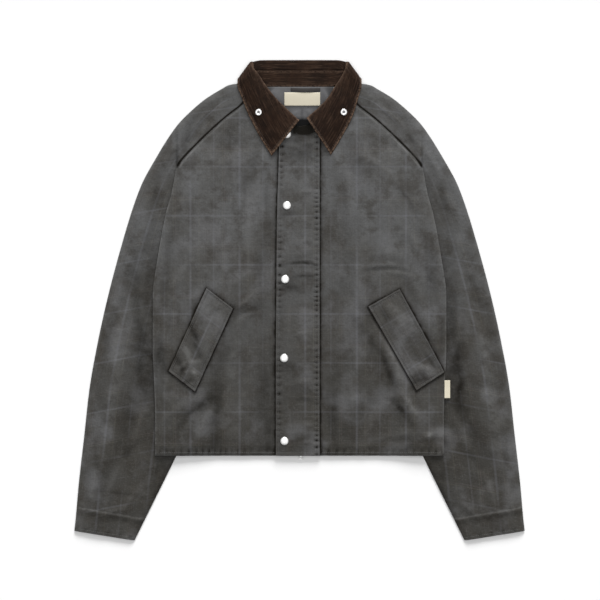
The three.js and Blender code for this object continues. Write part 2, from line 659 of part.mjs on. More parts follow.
// The slider's body, with the eye that the pull swings in past the hem.
function sliderGeometry() {
  const length = slider.top - slider.bottom;
  const body = new THREE.BoxGeometry(2 * slider.halfWidth, length, slider.high - slider.low);
  body.translate(pullHinge.x, (slider.top + slider.bottom) / 2, (slider.low + slider.high) / 2);
  const eye = new THREE.Shape();
  eye.moveTo(slider.bottom + 2, slider.low + 0.2);
  eye.lineTo(slider.bottom + 2, slider.high - 0.2);
  eye.lineTo(pullHinge.y, pullHinge.z + pullHinge.noseRadius);
  eye.absarc(pullHinge.y, pullHinge.z, pullHinge.noseRadius, Math.PI / 2, (3 * Math.PI) / 2, false);
  eye.lineTo(slider.bottom + 2, slider.low + 0.2);
  const hole = new THREE.Path();
  hole.absarc(pullHinge.y, pullHinge.z, pullHinge.holeRadius, 0, 2 * Math.PI, true);
  eye.holes.push(hole);
  const width = 2 * pullHinge.noseHalfWidth;
  const nose = new THREE.ExtrudeGeometry(eye, { depth: width, bevelEnabled: false, curveSegments: 8 });
  const alongX = new THREE.Matrix4().makeBasis(
    new THREE.Vector3(0, 1, 0), new THREE.Vector3(0, 0, 1), new THREE.Vector3(1, 0, 0),
  );
  nose.applyMatrix4(alongX);
  nose.translate(pullHinge.x - pullHinge.noseHalfWidth, 0, 0);
  return fromSolid(toSolid(body).add(toSolid(nose)));
}

function pullGeometry() {
  const ring = new THREE.TorusGeometry(pullHalfWidth, pullWire, 6, 20);
  ring.scale(1, pullHalfHeight / pullHalfWidth, 1);
  return ring.translate(0, -pullHalfHeight, 0);
}

const jacket = new THREE.Group();
jacket.name = 'waxed_jacket';

function addPiece(name, geometry, colour) {
  const mesh = new THREE.Mesh(geometry, new THREE.MeshStandardMaterial(colours[colour]));
  mesh.name = name;
  jacket.add(mesh);
  return mesh;
}

// Sets a turned cap on a surface, just clear of it and square to it.
function seatOn(mesh, point, normal, lift) {
  mesh.position.copy(point).addScaledVector(normal, lift);
  mesh.quaternion.setFromUnitVectors(new THREE.Vector3(0, 0, 1), normal);
}

addPiece('back', backGeometry(), 'shell');
for (const { wearer, side } of [{ wearer: 'right', side: -1 }, { wearer: 'left', side: 1 }]) {
  addPiece(`front_${wearer}`, frontGeometry(side), 'shell');
  addPiece(`sleeve_${wearer}_front`, upperSleeveGeometry(side), 'sleeve');
  addPiece(`sleeve_${wearer}_back`, clearOfLeaf(lowerSleeveGeometry(side)), 'sleeve');
}
addPiece('collar_stand', clearOfLeaf(wallThrough(collarGrid(standAcross), standWall)), 'corduroy');
addPiece('collar_leaf', wallThrough(collarGrid(leafAcross), collarWall), 'corduroy');
addPiece('placket', placketGeometry(), 'shell');
addPiece('pocket_flap_right', flapGeometry(flapRight), 'shell');
addPiece('pocket_flap_left', flapGeometry(flapLeft), 'shell');
addPiece('back_lining', liningGeometry(), 'lining');
addPiece('neck_label', labelGeometry(), 'cream');
addPiece('hanger_loop', hangerLoopGeometry(), 'lining');
addPiece('side_tab', sideTabGeometry(), 'cream');
addPiece('zip', zipGeometry(), 'zip');
addPiece('zip_slider', sliderGeometry(), 'metal');
addPiece('zip_pull', pullGeometry(), 'metal').position.set(pullHinge.x, pullHinge.y, pullHinge.z);
for (const place of snapPlaces) {
  const normal = facingAt(placketTop, place.x, place.y);
  const point = new THREE.Vector3(place.x, place.y, placketTop(place.x, place.y));
  seatOn(addPiece(place.name, turnedGeometry(snapSection, 18), 'metal'), point, normal, restGap);
}
for (const { name, x, y } of [
  { name: 'collar_stud_right', x: -75.7, y: 346.3 }, { name: 'collar_stud_left', x: 81.2, y: 345.6 },
]) {
  const { point, normal } = fallPointNear(x, y);
  seatOn(addPiece(name, turnedGeometry(studSection, 16), 'metal'), point, normal, collarWall / 2 + restGap);
}

// The origin is under the middle of the jacket's outline.
jacket.position.y = -(collarTopY + cuffTipY) / 2;

export default jacket;
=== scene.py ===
# The looks of a short waxed cotton jacket lying flat: cloth shells over its solids, seams,
# stitches, corduroy, snaps and studs. Sizes are in millimetres and turned to metres in meshes.
import math
import random

import bpy
import numpy as np
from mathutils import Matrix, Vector


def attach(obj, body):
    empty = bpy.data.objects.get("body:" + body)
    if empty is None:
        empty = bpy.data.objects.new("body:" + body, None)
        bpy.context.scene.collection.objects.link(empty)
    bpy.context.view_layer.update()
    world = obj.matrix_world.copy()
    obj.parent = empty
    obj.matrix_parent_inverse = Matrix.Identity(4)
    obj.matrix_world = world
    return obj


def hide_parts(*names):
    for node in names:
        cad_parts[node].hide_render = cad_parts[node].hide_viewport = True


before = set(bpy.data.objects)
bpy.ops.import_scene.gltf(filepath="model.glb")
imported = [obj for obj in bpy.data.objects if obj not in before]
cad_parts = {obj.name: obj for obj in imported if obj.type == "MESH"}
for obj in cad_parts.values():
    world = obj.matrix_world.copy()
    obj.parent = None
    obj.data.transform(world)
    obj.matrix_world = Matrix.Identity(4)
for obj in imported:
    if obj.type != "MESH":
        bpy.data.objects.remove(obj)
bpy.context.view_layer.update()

MM = 0.001
ROW_SHIFT_Y = 0.3

# Sizes shared with the solids
SHELL_WALL = 1.5
SLEEVE_AIR = 2.0
BODY_AIR = 2.0
SEAM_GAP = 0.3
REST_GAP = 0.5
COLLAR_WALL = 2.0
LINING_WALL = 1.2
PLACKET_WALL = 2.4
FLAP_WALL = 2.2
LABEL_WALL = 1.0
HEM_Y = -287.0
UNDERARM_Y = 244.0
CAP_FOLD_X = 226.0
BACK_NECK_Y = 393.5
FALL_LIFT = 2.9
NECK_AIR = 3.0
ZIP_HALF = 12.7
ZIP_X = 1.0

# Thickness of the cloth as drawn, and of its turned hem
CLOTH = 1.1
HEM_CLOTH = 1.7
HEM_TURN = 9.0
HEM_PUCKER = 7.0
STITCH_FROM_EDGE = 5.5
STITCH_LIFT = 0.1
CUFF_FACING = 44.0

# The sleeve's outer fold, and how its cloth's grain turns from the jacket's axes
SLEEVE_FOLD = 1.5
UV_FOLD, UV_UNDER = 420, 425
GRAIN_COS, GRAIN_SIN = 0.982, 0.19

# Where the check lies on the flaps, the placket and the stand
FLAP_UV = (37, 20)
PLACKET_UV_X = 60
STAND_UV_Y = 90

# The sharp creases' height and the marks' strength, over their tables' figures
CREASE_RISE = 1.7
MARK_SHARE = 0.62

OUTER_EDGE = [(-426.4, 416.3), (-407, 414), (-340, 408), (-252, 398), (-163, 388), (-74, 372), (15, 352),
              (104, 328), (170, 308), (215, 291), (259, 267), (303, 240), (326, 223), (348, 201),
              (370, 175), (381, 158), (388.5, 145), (396, 130), (398.8, 109.5), (401, 97), (403, 84.5)]
BODY_EDGE = [(-287, 265.5), (-218, 265.5), (-140, 268), (-92, 270), (5, 270), (83, 260), (163, 245),
             (194, 236), (244, 226.8)]
RAGLAN_SEAM = [(244, 226.4), (255, 220), (277, 201), (309, 169), (338, 137), (363, 105.5), (374, 97),
               (381, 92)]
SLEEVE_INNER = [(-444, 305.3), (-287, 227.6), (-160, 164.8), (-95, 134), (-40, 121), (40, 121), (110, 125),
                (200, 124), (300, 110), (330, 102), (370, 85), (394.2, 74.2)]
UPPER_HIDDEN = [(110, 125), (150, 146), (200, 190), (240, 226.8)]
BACK_HIDDEN = [(232, 228.8), (244, 214), (262, 178), (280, 140), (296, 110.2)]
FRONT_NECK = [(321, 2), (324.8, 20.5), (335, 43.5), (348.5, 68.5), (357, 80), (366.5, 86.6), (379, 87.4)]
PLACKET_LEFT = [(-287, -44.4), (-111, -44.4), (0, -43.5), (130, -42.6), (265, -38.9), (335, -37)]
PLACKET_RIGHT = 38.0

# Rows of a sleeve from the cuff up: outer end, inner end, how many up to the next. Past the neck's
# height the lower ply's inner end goes on to a height of its own.
SLEEVE_NECK_Y, UNDER_NECK_Y = 363, 394.2
SLEEVE_ROWS = [(-426.4, -444, 34), (-375.9, -391.7, 26), (-275, -287, 80), (110, 110, 38), (236, 236, 9),
              (250, 250, 50), (SLEEVE_NECK_Y, SLEEVE_NECK_Y, 20), (403, 381, 0)]

# Divisions of each cloth's grid, along and across
FRONT_GRID, FRONT_NECK_ROWS = (150, 132), 49
SLEEVE_ACROSS, SLEEVE_UNDER = 86, 20
BACK_GRID, BACK_NECK_ROWS = (64, 96), 36
FLAP_GRID = (140, 64)
PLACKET_GRID, PLACKET_NECK_ROWS = (400, 60), 24
LEAF_GRID, LEAF_TIP_ROWS = (250, 96), 14
STAND_GRID = (180, 34)
LINING_GRID = (90, 70)

# Collar stations on one half: neck edge, outside of the roll, free edge, turn and roll radius
COLLAR_COLUMNS = ("nx", "ny", "nz", "rx", "ry", "rz", "ex", "ey", "ez", "turn", "roll")
COLLAR_BACK = [
    (0, 394, 3.6, 0, 443.4, 2.3, 0, 386, 1.0, 180, 1.3),
    (40, 394, 3.6, 44, 443.4, 2.3, 46, 386, 1.0, 180, 1.3),
    (60, 395, 3.6, 70, 443.2, 2.3, 80, 387, 1.0, 176, 1.3),
    (73.8, 401, 3.4, 85.2, 440.5, 2.9, 109.2, 396.3, 1.0, 143, 1.3),
]
COLLAR_SHOULDER = [
    (80.4, 407.3, 3.9, 89, 440.8, 8.1, 114.4, 406.9, 5.7, 90, 2.8),
    (81.7, 399.8, 6.6, 86.1, 430.5, 14.1, 114.6, 395.4, 10.1, 36, 3.8),
]
COLLAR_LEFT = COLLAR_SHOULDER + [
    (82.5, 384, 8.2, 77, 412, 13.2, 108, 371, 9.6, 10, 2.7),
    (84.4, 366.5, 8.0, 64.8, 393, 13.6, 101, 347, 8.8, 0, 2.9),
    (66.4, 351.5, 8.0, 49.8, 370, 14.2, 91, 324, 9.0, 0, 2.9),
    (42.2, 338.6, 8.2, 31, 351, 14.2, 76, 297, 7.4, 0, 2.8),
    (19.6, 328.6, 9.0, 12.5, 335.5, 14.0, 58, 267.2, 7.0, 0, 2.6),
]
COLLAR_RIGHT = COLLAR_SHOULDER + [
    (82.5, 384, 8.2, 75.5, 416, 13.2, 106.6, 373, 9.6, 10, 2.7),
    (84.4, 366.5, 8.0, 62.5, 396.5, 13.6, 97.5, 349, 8.8, 0, 2.9),
    (66.4, 351.5, 8.0, 44, 373, 14.2, 86, 325, 9.0, 0, 2.9),
    (42.2, 338.6, 8.2, 21.5, 350.5, 14.2, 70, 295, 8.2, 0, 2.8),
    (19.6, 328.6, 9.0, 0.2, 331, 14.0, 51.6, 265.6, 8.4, 0, 2.6),
]

# Folds: middle x and y, direction in degrees, half length, half width, height
FOLDS = [(-150, 60, 76, 120, 34, 1.5), (-110, -200, 60, 110, 32, 1.3), (-215, -215, -28, 60, 28, 1.2),
         (-190, 190, 40, 70, 30, 1.1), (165, -60, -62, 110, 32, 1.5), (105, -190, 70, 110, 34, 1.2),
         (210, -230, 12, 70, 28, 1.2), (180, 170, -38, 80, 30, 1.1), (-325, -120, 70, 150, 30, 1.6),
         (-365, -330, 86, 90, 28, 1.4), (322, -90, -68, 150, 30, 1.6), (368, -335, -84, 90, 28, 1.4)]

# Creases of the fronts, as the folds, with troughs below zero
FRONT_CREASES = [
    (-106, -8, 28, 16, 4.5, 0.9), (-98, -22, 22, 22, 4, -0.7), (-92, 6, 38, 20, 5, 0.6),
    (-128, -120, 81, 120, 11, 0.9), (-150, -200, 78, 70, 9, -0.8), (-112, -210, 84, 60, 8, 0.8),
    (-176, -225, 62, 45, 7, 0.9), (-205, -215, 48, 40, 6, -0.8), (-232, -205, 35, 34, 7, 0.9),
    (-248, -160, 80, 28, 5, 0.8), (-256, -105, 100, 30, 5, -0.8), (-251, -60, 95, 32, 6, 0.7),
    (-225, 40, 60, 44, 8, 0.8), (-240, 110, 74, 40, 7, -0.7), (-228, 160, 68, 34, 6, 0.7),
    (-95, 120, 86, 90, 10, 0.7), (-70, 250, 76, 50, 7, 0.7), (-62, 180, 95, 40, 6, -0.6),
    (-140, 255, 35, 40, 7, 0.6), (-60, -100, 90, 60, 6, 0.6), (-58, -250, 86, 30, 6, -0.6),
    (172, -110, -66, 80, 9, 1.1), (158, -118, -64, 66, 6, -0.9), (140, -80, -68, 60, 7, 0.7),
    (205, -194, -58, 26, 6, 1.2), (190, -205, -50, 30, 5, -0.9), (242, -250, 22, 24, 6, 1.2),
    (226, -262, 16, 30, 5, -0.9), (180, -248, 8, 46, 7, 0.8), (130, -235, 66, 46, 8, 0.8),
    (100, -150, 82, 60, 8, 0.7), (62, -230, 88, 42, 6, -0.6), (163, 65, -3, 34, 4, 0.8),
    (150, 56, 4, 40, 4, -0.7), (185, 50, -12, 26, 5, 0.7), (110, 60, 84, 70, 9, 0.7),
    (215, 100, -62, 44, 7, 0.8), (238, 40, -80, 34, 6, -0.7), (250, -30, -85, 36, 6, 0.7),
    (92, 200, -84, 60, 8, 0.7), (150, 245, -38, 40, 7, 0.6), (62, 270, -70, 34, 6, 0.6),
    (200, 180, -55, 36, 6, -0.6), (75, 20, 80, 40, 6, -0.5),
]
# Creases of the sleeves
SLEEVE_CREASES = [
    (-196, 316, 58, 26, 4, 0.8), (-204, 300, 66, 24, 4, -0.7), (-180, 338, 48, 26, 5, 0.6),
    (-150, 352, 40, 28, 5, 0.6), (-245, 262, 62, 34, 6, 0.8), (-262, 215, 74, 40, 6, -0.7),
    (-288, 170, 70, 44, 8, 0.9), (-296, 96, 84, 50, 8, 0.8), (-318, 40, 72, 60, 9, -0.8),
    (-292, -20, 96, 44, 7, 0.9), (-336, -60, 76, 56, 8, 0.9), (-296, -130, 92, 50, 7, -0.8),
    (-352, -190, 80, 60, 9, 1.0), (-300, -235, 70, 44, 7, 0.9), (-318, -285, 48, 36, 7, -0.9),
    (-376, -270, 84, 46, 7, -0.8), (-345, -330, 66, 44, 8, 1.0), (-384, -350, 80, 36, 6, 0.8),
    (-318, -375, 56, 30, 6, 0.8), (-350, -392, 20, 34, 5, 0.7),
    (190, 322, -52, 28, 5, 0.7), (206, 296, -66, 24, 4, -0.6), (160, 348, -42, 28, 5, 0.6),
    (246, 255, -60, 36, 6, 0.8), (262, 205, -72, 44, 7, -0.7), (290, 160, -66, 46, 8, 0.9),
    (300, 70, -84, 54, 8, 0.8), (322, 20, -70, 50, 8, -0.8), (294, -50, -96, 48, 7, 0.9),
    (340, -90, -78, 60, 9, 0.9), (298, -160, -90, 44, 7, -0.8), (356, -210, -80, 56, 9, 1.0),
    (304, -250, -66, 44, 7, 0.9), (324, -300, -50, 34, 7, -0.8), (380, -285, -84, 44, 7, -0.7),
    (350, -345, -64, 44, 8, 1.0), (388, -365, -80, 32, 6, 0.8), (322, -392, -40, 28, 6, 0.7),
]
FLAP_CREASES = [
    (-205, -118, 18, 30, 5, 0.8), (-214, -128, 52, 26, 4, -0.6), (-190, -135, -12, 26, 4, 0.7),
    (-194, -66, -70, 36, 6, -0.6), (-160, -15, 30, 26, 5, 0.5), (225, -100, -60, 44, 6, 0.5),
    (-184, -92, -66, 34, 4, 0.5), (-208, -104, -62, 30, 4, 0.5), (-222, -116, -64, 26, 5, -0.5),
    (240, -128, -20, 28, 5, 0.7), (180, -20, -35, 30, 5, 0.5), (215, -140, 20, 24, 4, -0.5),
]

# Tone marks, as the creases: below zero darker, with wax and with painted shade in folds; above zero paler,
# worn and with painted highlights on fold ridges
MARKS = [
    (-104, -12, 24, 26, 11, -0.9), (-258, -102, 100, 30, 12, -0.9), (-152, -130, 82, 130, 16, -0.6),
    (-122, -125, 81, 120, 12, 0.35), (-64, -160, 88, 130, 17, -0.8), (-72, 60, 86, 90, 14, -0.55),
    (-128, 300, 60, 34, 20, -0.7), (-90, 236, 70, 60, 18, -0.55), (-176, 250, 35, 40, 16, 0.35),
    (-205, -205, 45, 60, 14, -0.7), (-225, -225, 30, 40, 12, 0.5), (-140, -262, 5, 70, 14, -0.5),
    (-248, 20, 88, 70, 12, -0.5), (-176, 120, 80, 60, 24, 0.25), (-250, 150, 76, 60, 14, 0.45),
    (112, 255, -60, 50, 20, -0.55), (84, 160, -85, 80, 14, -0.5), (206, 20, -72, 50, 8, -0.6),
    (226, 10, -70, 50, 6, 0.6), (120, -20, -60, 40, 8, -0.5), (150, 75, -5, 60, 14, -0.5),
    (165, 90, 0, 44, 10, 0.4), (175, -112, -66, 90, 10, 0.7), (156, -122, -64, 90, 13, -0.85),
    (205, -194, -58, 26, 7, 1.3), (196, -214, -50, 34, 9, -0.8), (243, -250, 22, 26, 8, 1.3),
    (232, -266, 12, 40, 8, -0.7), (60, -190, 88, 90, 14, -0.75), (96, -230, 78, 50, 20, -0.5),
    (244, 70, -82, 90, 14, -0.5), (236, 150, -72, 60, 18, 0.3), (190, 230, -45, 50, 16, 0.35),
    (262, -60, -86, 50, 8, -0.6), (130, 0, -70, 60, 20, -0.4), (214, -150, -60, 60, 14, 0.3),
    (-192, 330, 52, 44, 12, -0.6), (-214, 288, 62, 44, 12, -0.5), (-290, 130, 80, 90, 22, -0.5),
    (-330, 20, 76, 110, 20, 0.35), (-292, -60, 92, 110, 18, -0.9), (-340, -120, 80, 90, 16, 0.3),
    (-312, -210, 78, 90, 20, -0.7), (-352, -300, 70, 70, 16, -0.5), (-366, -240, 82, 60, 14, 0.45),
    (-330, -392, 20, 60, 14, -0.5), (-396, -380, 84, 40, 10, 0.5), (-336, -355, -6, 60, 3, -1.0),
    (196, 318, -52, 44, 12, -0.6), (292, 120, -78, 90, 22, -0.55), (330, 10, -74, 110, 20, 0.35),
    (290, -70, -90, 110, 16, -0.9), (344, -130, -78, 90, 16, 0.3), (310, -220, -74, 90, 20, -0.8),
    (356, -300, -70, 70, 16, -0.5), (372, -240, -80, 60, 14, 0.4), (330, -395, -20, 60, 14, -0.5),
    (0, 282, 0, 34, 22, -0.9), (4, 72, 0, 34, 9, -0.8), (8, 44, 0, 26, 7, -0.5),
    (0, 225, 0, 30, 16, 0.35), (0, -170, 4, 34, 26, -0.35), (4, -262, 0, 34, 16, -0.5),
    (-20, 24, 0, 22, 9, -0.9), (-22, -124, 0, 20, 9, -0.9), (-22, 158, 0, 20, 8, -0.7),
    (-192, -20, 70, 26, 10, -0.9), (-118, -70, 64, 60, 9, -0.8), (-172, -192, 30, 34, 10, -0.7),
    (140, -60, -62, 70, 10, -0.7), (232, -60, -62, 60, 9, -0.7), (300, -150, -86, 70, 12, -0.6),
    (-352, -60, 78, 60, 12, -0.6), (-300, 40, 86, 60, 10, -0.6), (350, -30, -76, 60, 12, -0.6),
]

# Tone marks on the flaps, as the marks above, with painted shade and highlights along their folds
FLAP_MARKS = [
    (-193, -62, -70, 34, 9, -0.45), (-178, -106, -66, 28, 6, -0.9), (-222, -116, -64, 30, 9, -0.35),
    (-205, -96, -62, 30, 4, 0.8), (-164, -52, 62, 46, 12, 0.55), (-206, -150, 24, 22, 5, -0.6),
    (-190, -140, -60, 22, 4, 0.6), (-168, -2, 24, 22, 6, 0.5),
    (186, -34, -50, 30, 9, 0.45), (214, -86, -62, 50, 10, -0.7), (236, -128, -30, 28, 6, 0.8),
    (224, -146, 20, 26, 6, -0.9), (246, -120, -60, 26, 5, -0.8), (160, -30, -62, 40, 7, -0.5),
]

SNAPS = [("snap_1", -23, 306), ("snap_2", -23.3, 174.6), ("snap_3", -26.6, 38.3),
         ("snap_4", -28.3, -107.3), ("snap_5", -27.8, -260.3)]
STUDS = [("collar_stud_right", -75.7, 346.3), ("collar_stud_left", 81.2, 345.6)]
FLAPS = {"right": [(-171.7, 23.5), (-121.5, -15.4), (-192.2, -170.4), (-242.5, -131.5)],
         "left": [(125.4, -11.8), (184.8, 21.5), (268.3, -133.6), (215.3, -168.2)]}


def smoothstep(x, low, high):
    t = np.clip((x - low) / (high - low), 0, 1)
    return t * t * (3 - 2 * t)


def lerp(a, b, t):
    return a + (b - a) * t


def bell(x, middle, width):
    """1 at the middle, falling off smoothly on both sides."""
    return np.exp(-(((x - middle) / width) ** 2))


def fade(distance, reach):
    return np.exp(-distance / reach)


def shares(count):
    return np.arange(count + 1) / count


def eased(count):
    """Shares that lie closer together towards 1."""
    return np.sin(shares(count) * math.pi / 2)


def eased_both(count):
    """Shares that lie closer together towards both ends."""
    return 0.5 - 0.5 * np.cos(math.pi * shares(count))


def unit(v):
    return v / np.maximum(np.linalg.norm(v, axis=-1, keepdims=True), 1e-9)


def curve(rows):
    """A smooth curve through (key, value) rows that never overshoots them."""
    keys = np.array([row[0] for row in rows], float)
    values = np.array([row[1] for row in rows], float)
    steps = np.diff(values) / np.diff(keys)
    slopes = np.concatenate([steps[:1], np.zeros(len(rows) - 2), steps[-1:]])
    for i in range(1, len(rows) - 1):
        before, after = steps[i - 1], steps[i]
        slopes[i] = 0 if before * after <= 0 else 2 * before * after / (before + after)

    def at(key):
        key = np.clip(np.asarray(key, float), keys[0], keys[-1])
        i = np.clip(np.searchsorted(keys, key, side="right") - 1, 0, len(keys) - 2)
        span = keys[i + 1] - keys[i]
        t = (key - keys[i]) / span
        return (values[i] * (2 * t**3 - 3 * t**2 + 1) + slopes[i] * span * (t**3 - 2 * t**2 + t)
                + values[i + 1] * (3 * t**2 - 2 * t**3) + slopes[i + 1] * span * (t**3 - t**2))

    return at


outer_edge = curve(OUTER_EDGE)
body_edge = curve(BODY_EDGE)
raglan_seam = curve(RAGLAN_SEAM)
sleeve_inner = curve(SLEEVE_INNER)
upper_hidden = curve(UPPER_HIDDEN)
back_hidden = curve(BACK_HIDDEN)
front_neck = curve(FRONT_NECK)
front_neck_height = curve([(x, y) for y, x in FRONT_NECK])
placket_left = curve(PLACKET_LEFT)


def edge_distance(edge, half, y):
    slope = (edge(y + 1) - edge(y - 1)) / 2
    return np.abs(edge(y) - half) / np.hypot(1, slope)


def closing(distance, reach):
    return np.clip(1 - distance / reach, 0, 1) ** 2


def fall_lift(x, y):
    return FALL_LIFT * smoothstep(y, 342, 384) * (1 - smoothstep(np.abs(x), 124, 150))


def sleeve_stack(y):
    full = 2 * SHELL_WALL + SLEEVE_AIR + REST_GAP
    single = SHELL_WALL + REST_GAP
    return lerp(lerp(full, single, smoothstep(y, 250, 294)), 0, smoothstep(y, 296, 334))


def back_bottom(x, y):
    inner = sleeve_inner(y)
    return fall_lift(x, y) + sleeve_stack(y) * smoothstep(np.abs(x), inner - 60, inner - 2)


def relief(rows, x, y, bow=0.12):
    """Soft ridges and troughs, each fading along its length and across its width, bowed sideways."""
    total = np.zeros(np.broadcast(x, y).shape)
    for mid_x, mid_y, angle, length, width, height in rows:
        turn = math.radians(angle)
        along = (x - mid_x) * math.cos(turn) + (y - mid_y) * math.sin(turn)
        across = (y - mid_y) * math.cos(turn) - (x - mid_x) * math.sin(turn)
        bend = across + bow * length * (along / length) ** 2
        total = total + height * np.exp(-((bend / width) ** 2) - (along / length) ** 2)
    return total


def fold_height(x, y):
    return relief(FOLDS, x, y, bow=0.0)


def crumple(x, y, seed, size=34.0):
    """Small uneven waves of hand-worn waxed cloth, from -1 to 1."""
    draw = random.Random(seed)
    total = np.zeros(np.broadcast(x, y).shape)
    for _ in range(9):
        turn = draw.uniform(0, math.pi)
        wave = size * draw.uniform(0.7, 1.9)
        shift = draw.uniform(0, 2 * math.pi)
        swing = 6 * np.sin((x * math.sin(turn) - y * math.cos(turn)) / (wave * 0.9) + shift)
        run = x * math.cos(turn) + y * math.sin(turn) + swing
        total = total + np.sin(run / wave * 2 * math.pi + shift)
    return total / 5


def upper_deck(x, y):
    inner = sleeve_inner(y)
    rise = smoothstep(np.abs(x), inner - 90, inner + 20)
    neck_air = NECK_AIR * smoothstep(y, 290, 330) * (1 - smoothstep(np.abs(x), 70, 115))
    return fall_lift(x, y) + sleeve_stack(y) * rise + SHELL_WALL + BODY_AIR + neck_air


def front_edge_distance(x, y):
    half = np.abs(x)
    return np.where(y < UNDERARM_Y, edge_distance(body_edge, half, y), edge_distance(raglan_seam, half, y))


def front_open(x, y):
    share = smoothstep(front_edge_distance(x, y), 4, 34) * (1 - smoothstep(y, 270, 310))
    return upper_deck(x, y) + fold_height(x, y) * share


def front_bottom(x, y):
    side = closing(front_edge_distance(x, y), 9) * (1 - smoothstep(y, 232, 248))
    return front_open(x, y) - side * (BODY_AIR - SEAM_GAP)


def outside(x, left, right, margin=8):
    return np.clip(smoothstep(left - x, 0, margin) + smoothstep(x - right, 0, margin), 0, 1)


def sides_of(corners):
    return zip(corners, corners[1:] + corners[:1])


def on_flap(x, y):
    """1 on a pocket flap's ground, fading out round it."""
    total = np.zeros(np.broadcast(x, y).shape)
    for corners in FLAPS.values():
        inside = np.full(total.shape, 1e3)
        centre_x = sum(c[0] for c in corners) / 4
        centre_y = sum(c[1] for c in corners) / 4
        for (ax, ay), (bx, by) in sides_of(corners):
            length = math.hypot(bx - ax, by - ay)
            side = ((bx - ax) * (y - ay) - (by - ay) * (x - ax)) / length
            facing = math.copysign(1, (bx - ax) * (centre_y - ay) - (by - ay) * (centre_x - ax))
            inside = np.minimum(inside, side * facing)
        total = np.maximum(total, smoothstep(inside, -7, 1))
    return total


def flap_distance(x, y):
    """How far a place lies outside the nearest pocket flap."""
    nearest = np.full(np.broadcast(x, y).shape, 1e3)
    for corners in FLAPS.values():
        for (ax, ay), (bx, by) in sides_of(corners):
            length = math.hypot(bx - ax, by - ay)
            share = np.clip(((x - ax) * (bx - ax) + (y - ay) * (by - ay)) / length**2, 0, 1)
            nearest = np.minimum(nearest, np.hypot(x - lerp(ax, bx, share), y - lerp(ay, by, share)))
    return nearest


def on_hem(y):
    return 1 - smoothstep(y, HEM_Y + HEM_TURN - 1, HEM_Y + HEM_TURN + 1)


def hem_wave(x):
    return np.sin(x / 1.9 + 2 * np.sin(x / 23)) * (0.7 + 0.3 * np.sin(x / 37))


def front_top(x, y):
    """The upper face of a front as drawn, with its creases."""
    free = outside(x, placket_left(y) - 2, PLACKET_RIGHT + 2) * (1 - on_flap(x, y))
    margin = smoothstep(front_edge_distance(x, y), 0, 14)
    high = 1 - smoothstep(y, 262, 300)
    small = 0.28 * crumple(x, y, 3) + 0.14 * crumple(x, y, 4, 15.0)
    creases = CREASE_RISE * relief(FRONT_CREASES, x, y)
    hem_pucker = 0.32 * hem_wave(x) * bell(y, HEM_Y + HEM_PUCKER, 4.5)
    return front_bottom(x, y) + SHELL_WALL + free * margin * (creases * high + small) + hem_pucker * free


def past_body(x, y):
    """How far a place on a sleeve lies outside the body's edge."""
    return np.maximum(np.abs(x) - body_edge(y), 0)


def mesh_object(name, points, faces, uv=None, material=None, smooth=True, wear_and_shading=None):
    mesh = bpy.data.meshes.new(name)
    points = np.asarray(points, float) * MM
    points[:, 1] += ROW_SHIFT_Y * MM
    mesh.from_pydata(points.tolist(), [], faces)
    if uv is not None:
        layer = mesh.uv_layers.new(name="cloth")
        corner = np.zeros(len(mesh.loops), np.int32)
        mesh.loops.foreach_get("vertex_index", corner)
        layer.data.foreach_set("uv", (np.asarray(uv, float)[corner] * MM).ravel())
    # This attribute carries worn places together with painted light and shade: below zero darker, above
    # zero paler.
    if wear_and_shading is not None:
        attribute = mesh.attributes.new("wear_and_shading", "FLOAT", "POINT")
        attribute.data.foreach_set("value", np.asarray(wear_and_shading, np.float32))
    mesh.validate()
    if smooth:
        mesh.polygons.foreach_set("use_smooth", [True] * len(mesh.polygons))
    mesh.update()
    piece = bpy.data.objects.new(name, mesh)
    bpy.context.scene.collection.objects.link(piece)
    if material is not None:
        mesh.materials.append(material)
    return piece


def normals_of(grid):
    along_row = np.empty_like(grid)
    along_row[:, 1:-1] = grid[:, 2:] - grid[:, :-2]
    along_row[:, 0] = grid[:, 1] - grid[:, 0]
    along_row[:, -1] = grid[:, -1] - grid[:, -2]
    down = np.empty_like(grid)
    down[1:-1] = grid[2:] - grid[:-2]
    down[0] = grid[1] - grid[0]
    down[-1] = grid[-1] - grid[-2]
    return unit(np.cross(along_row, down))


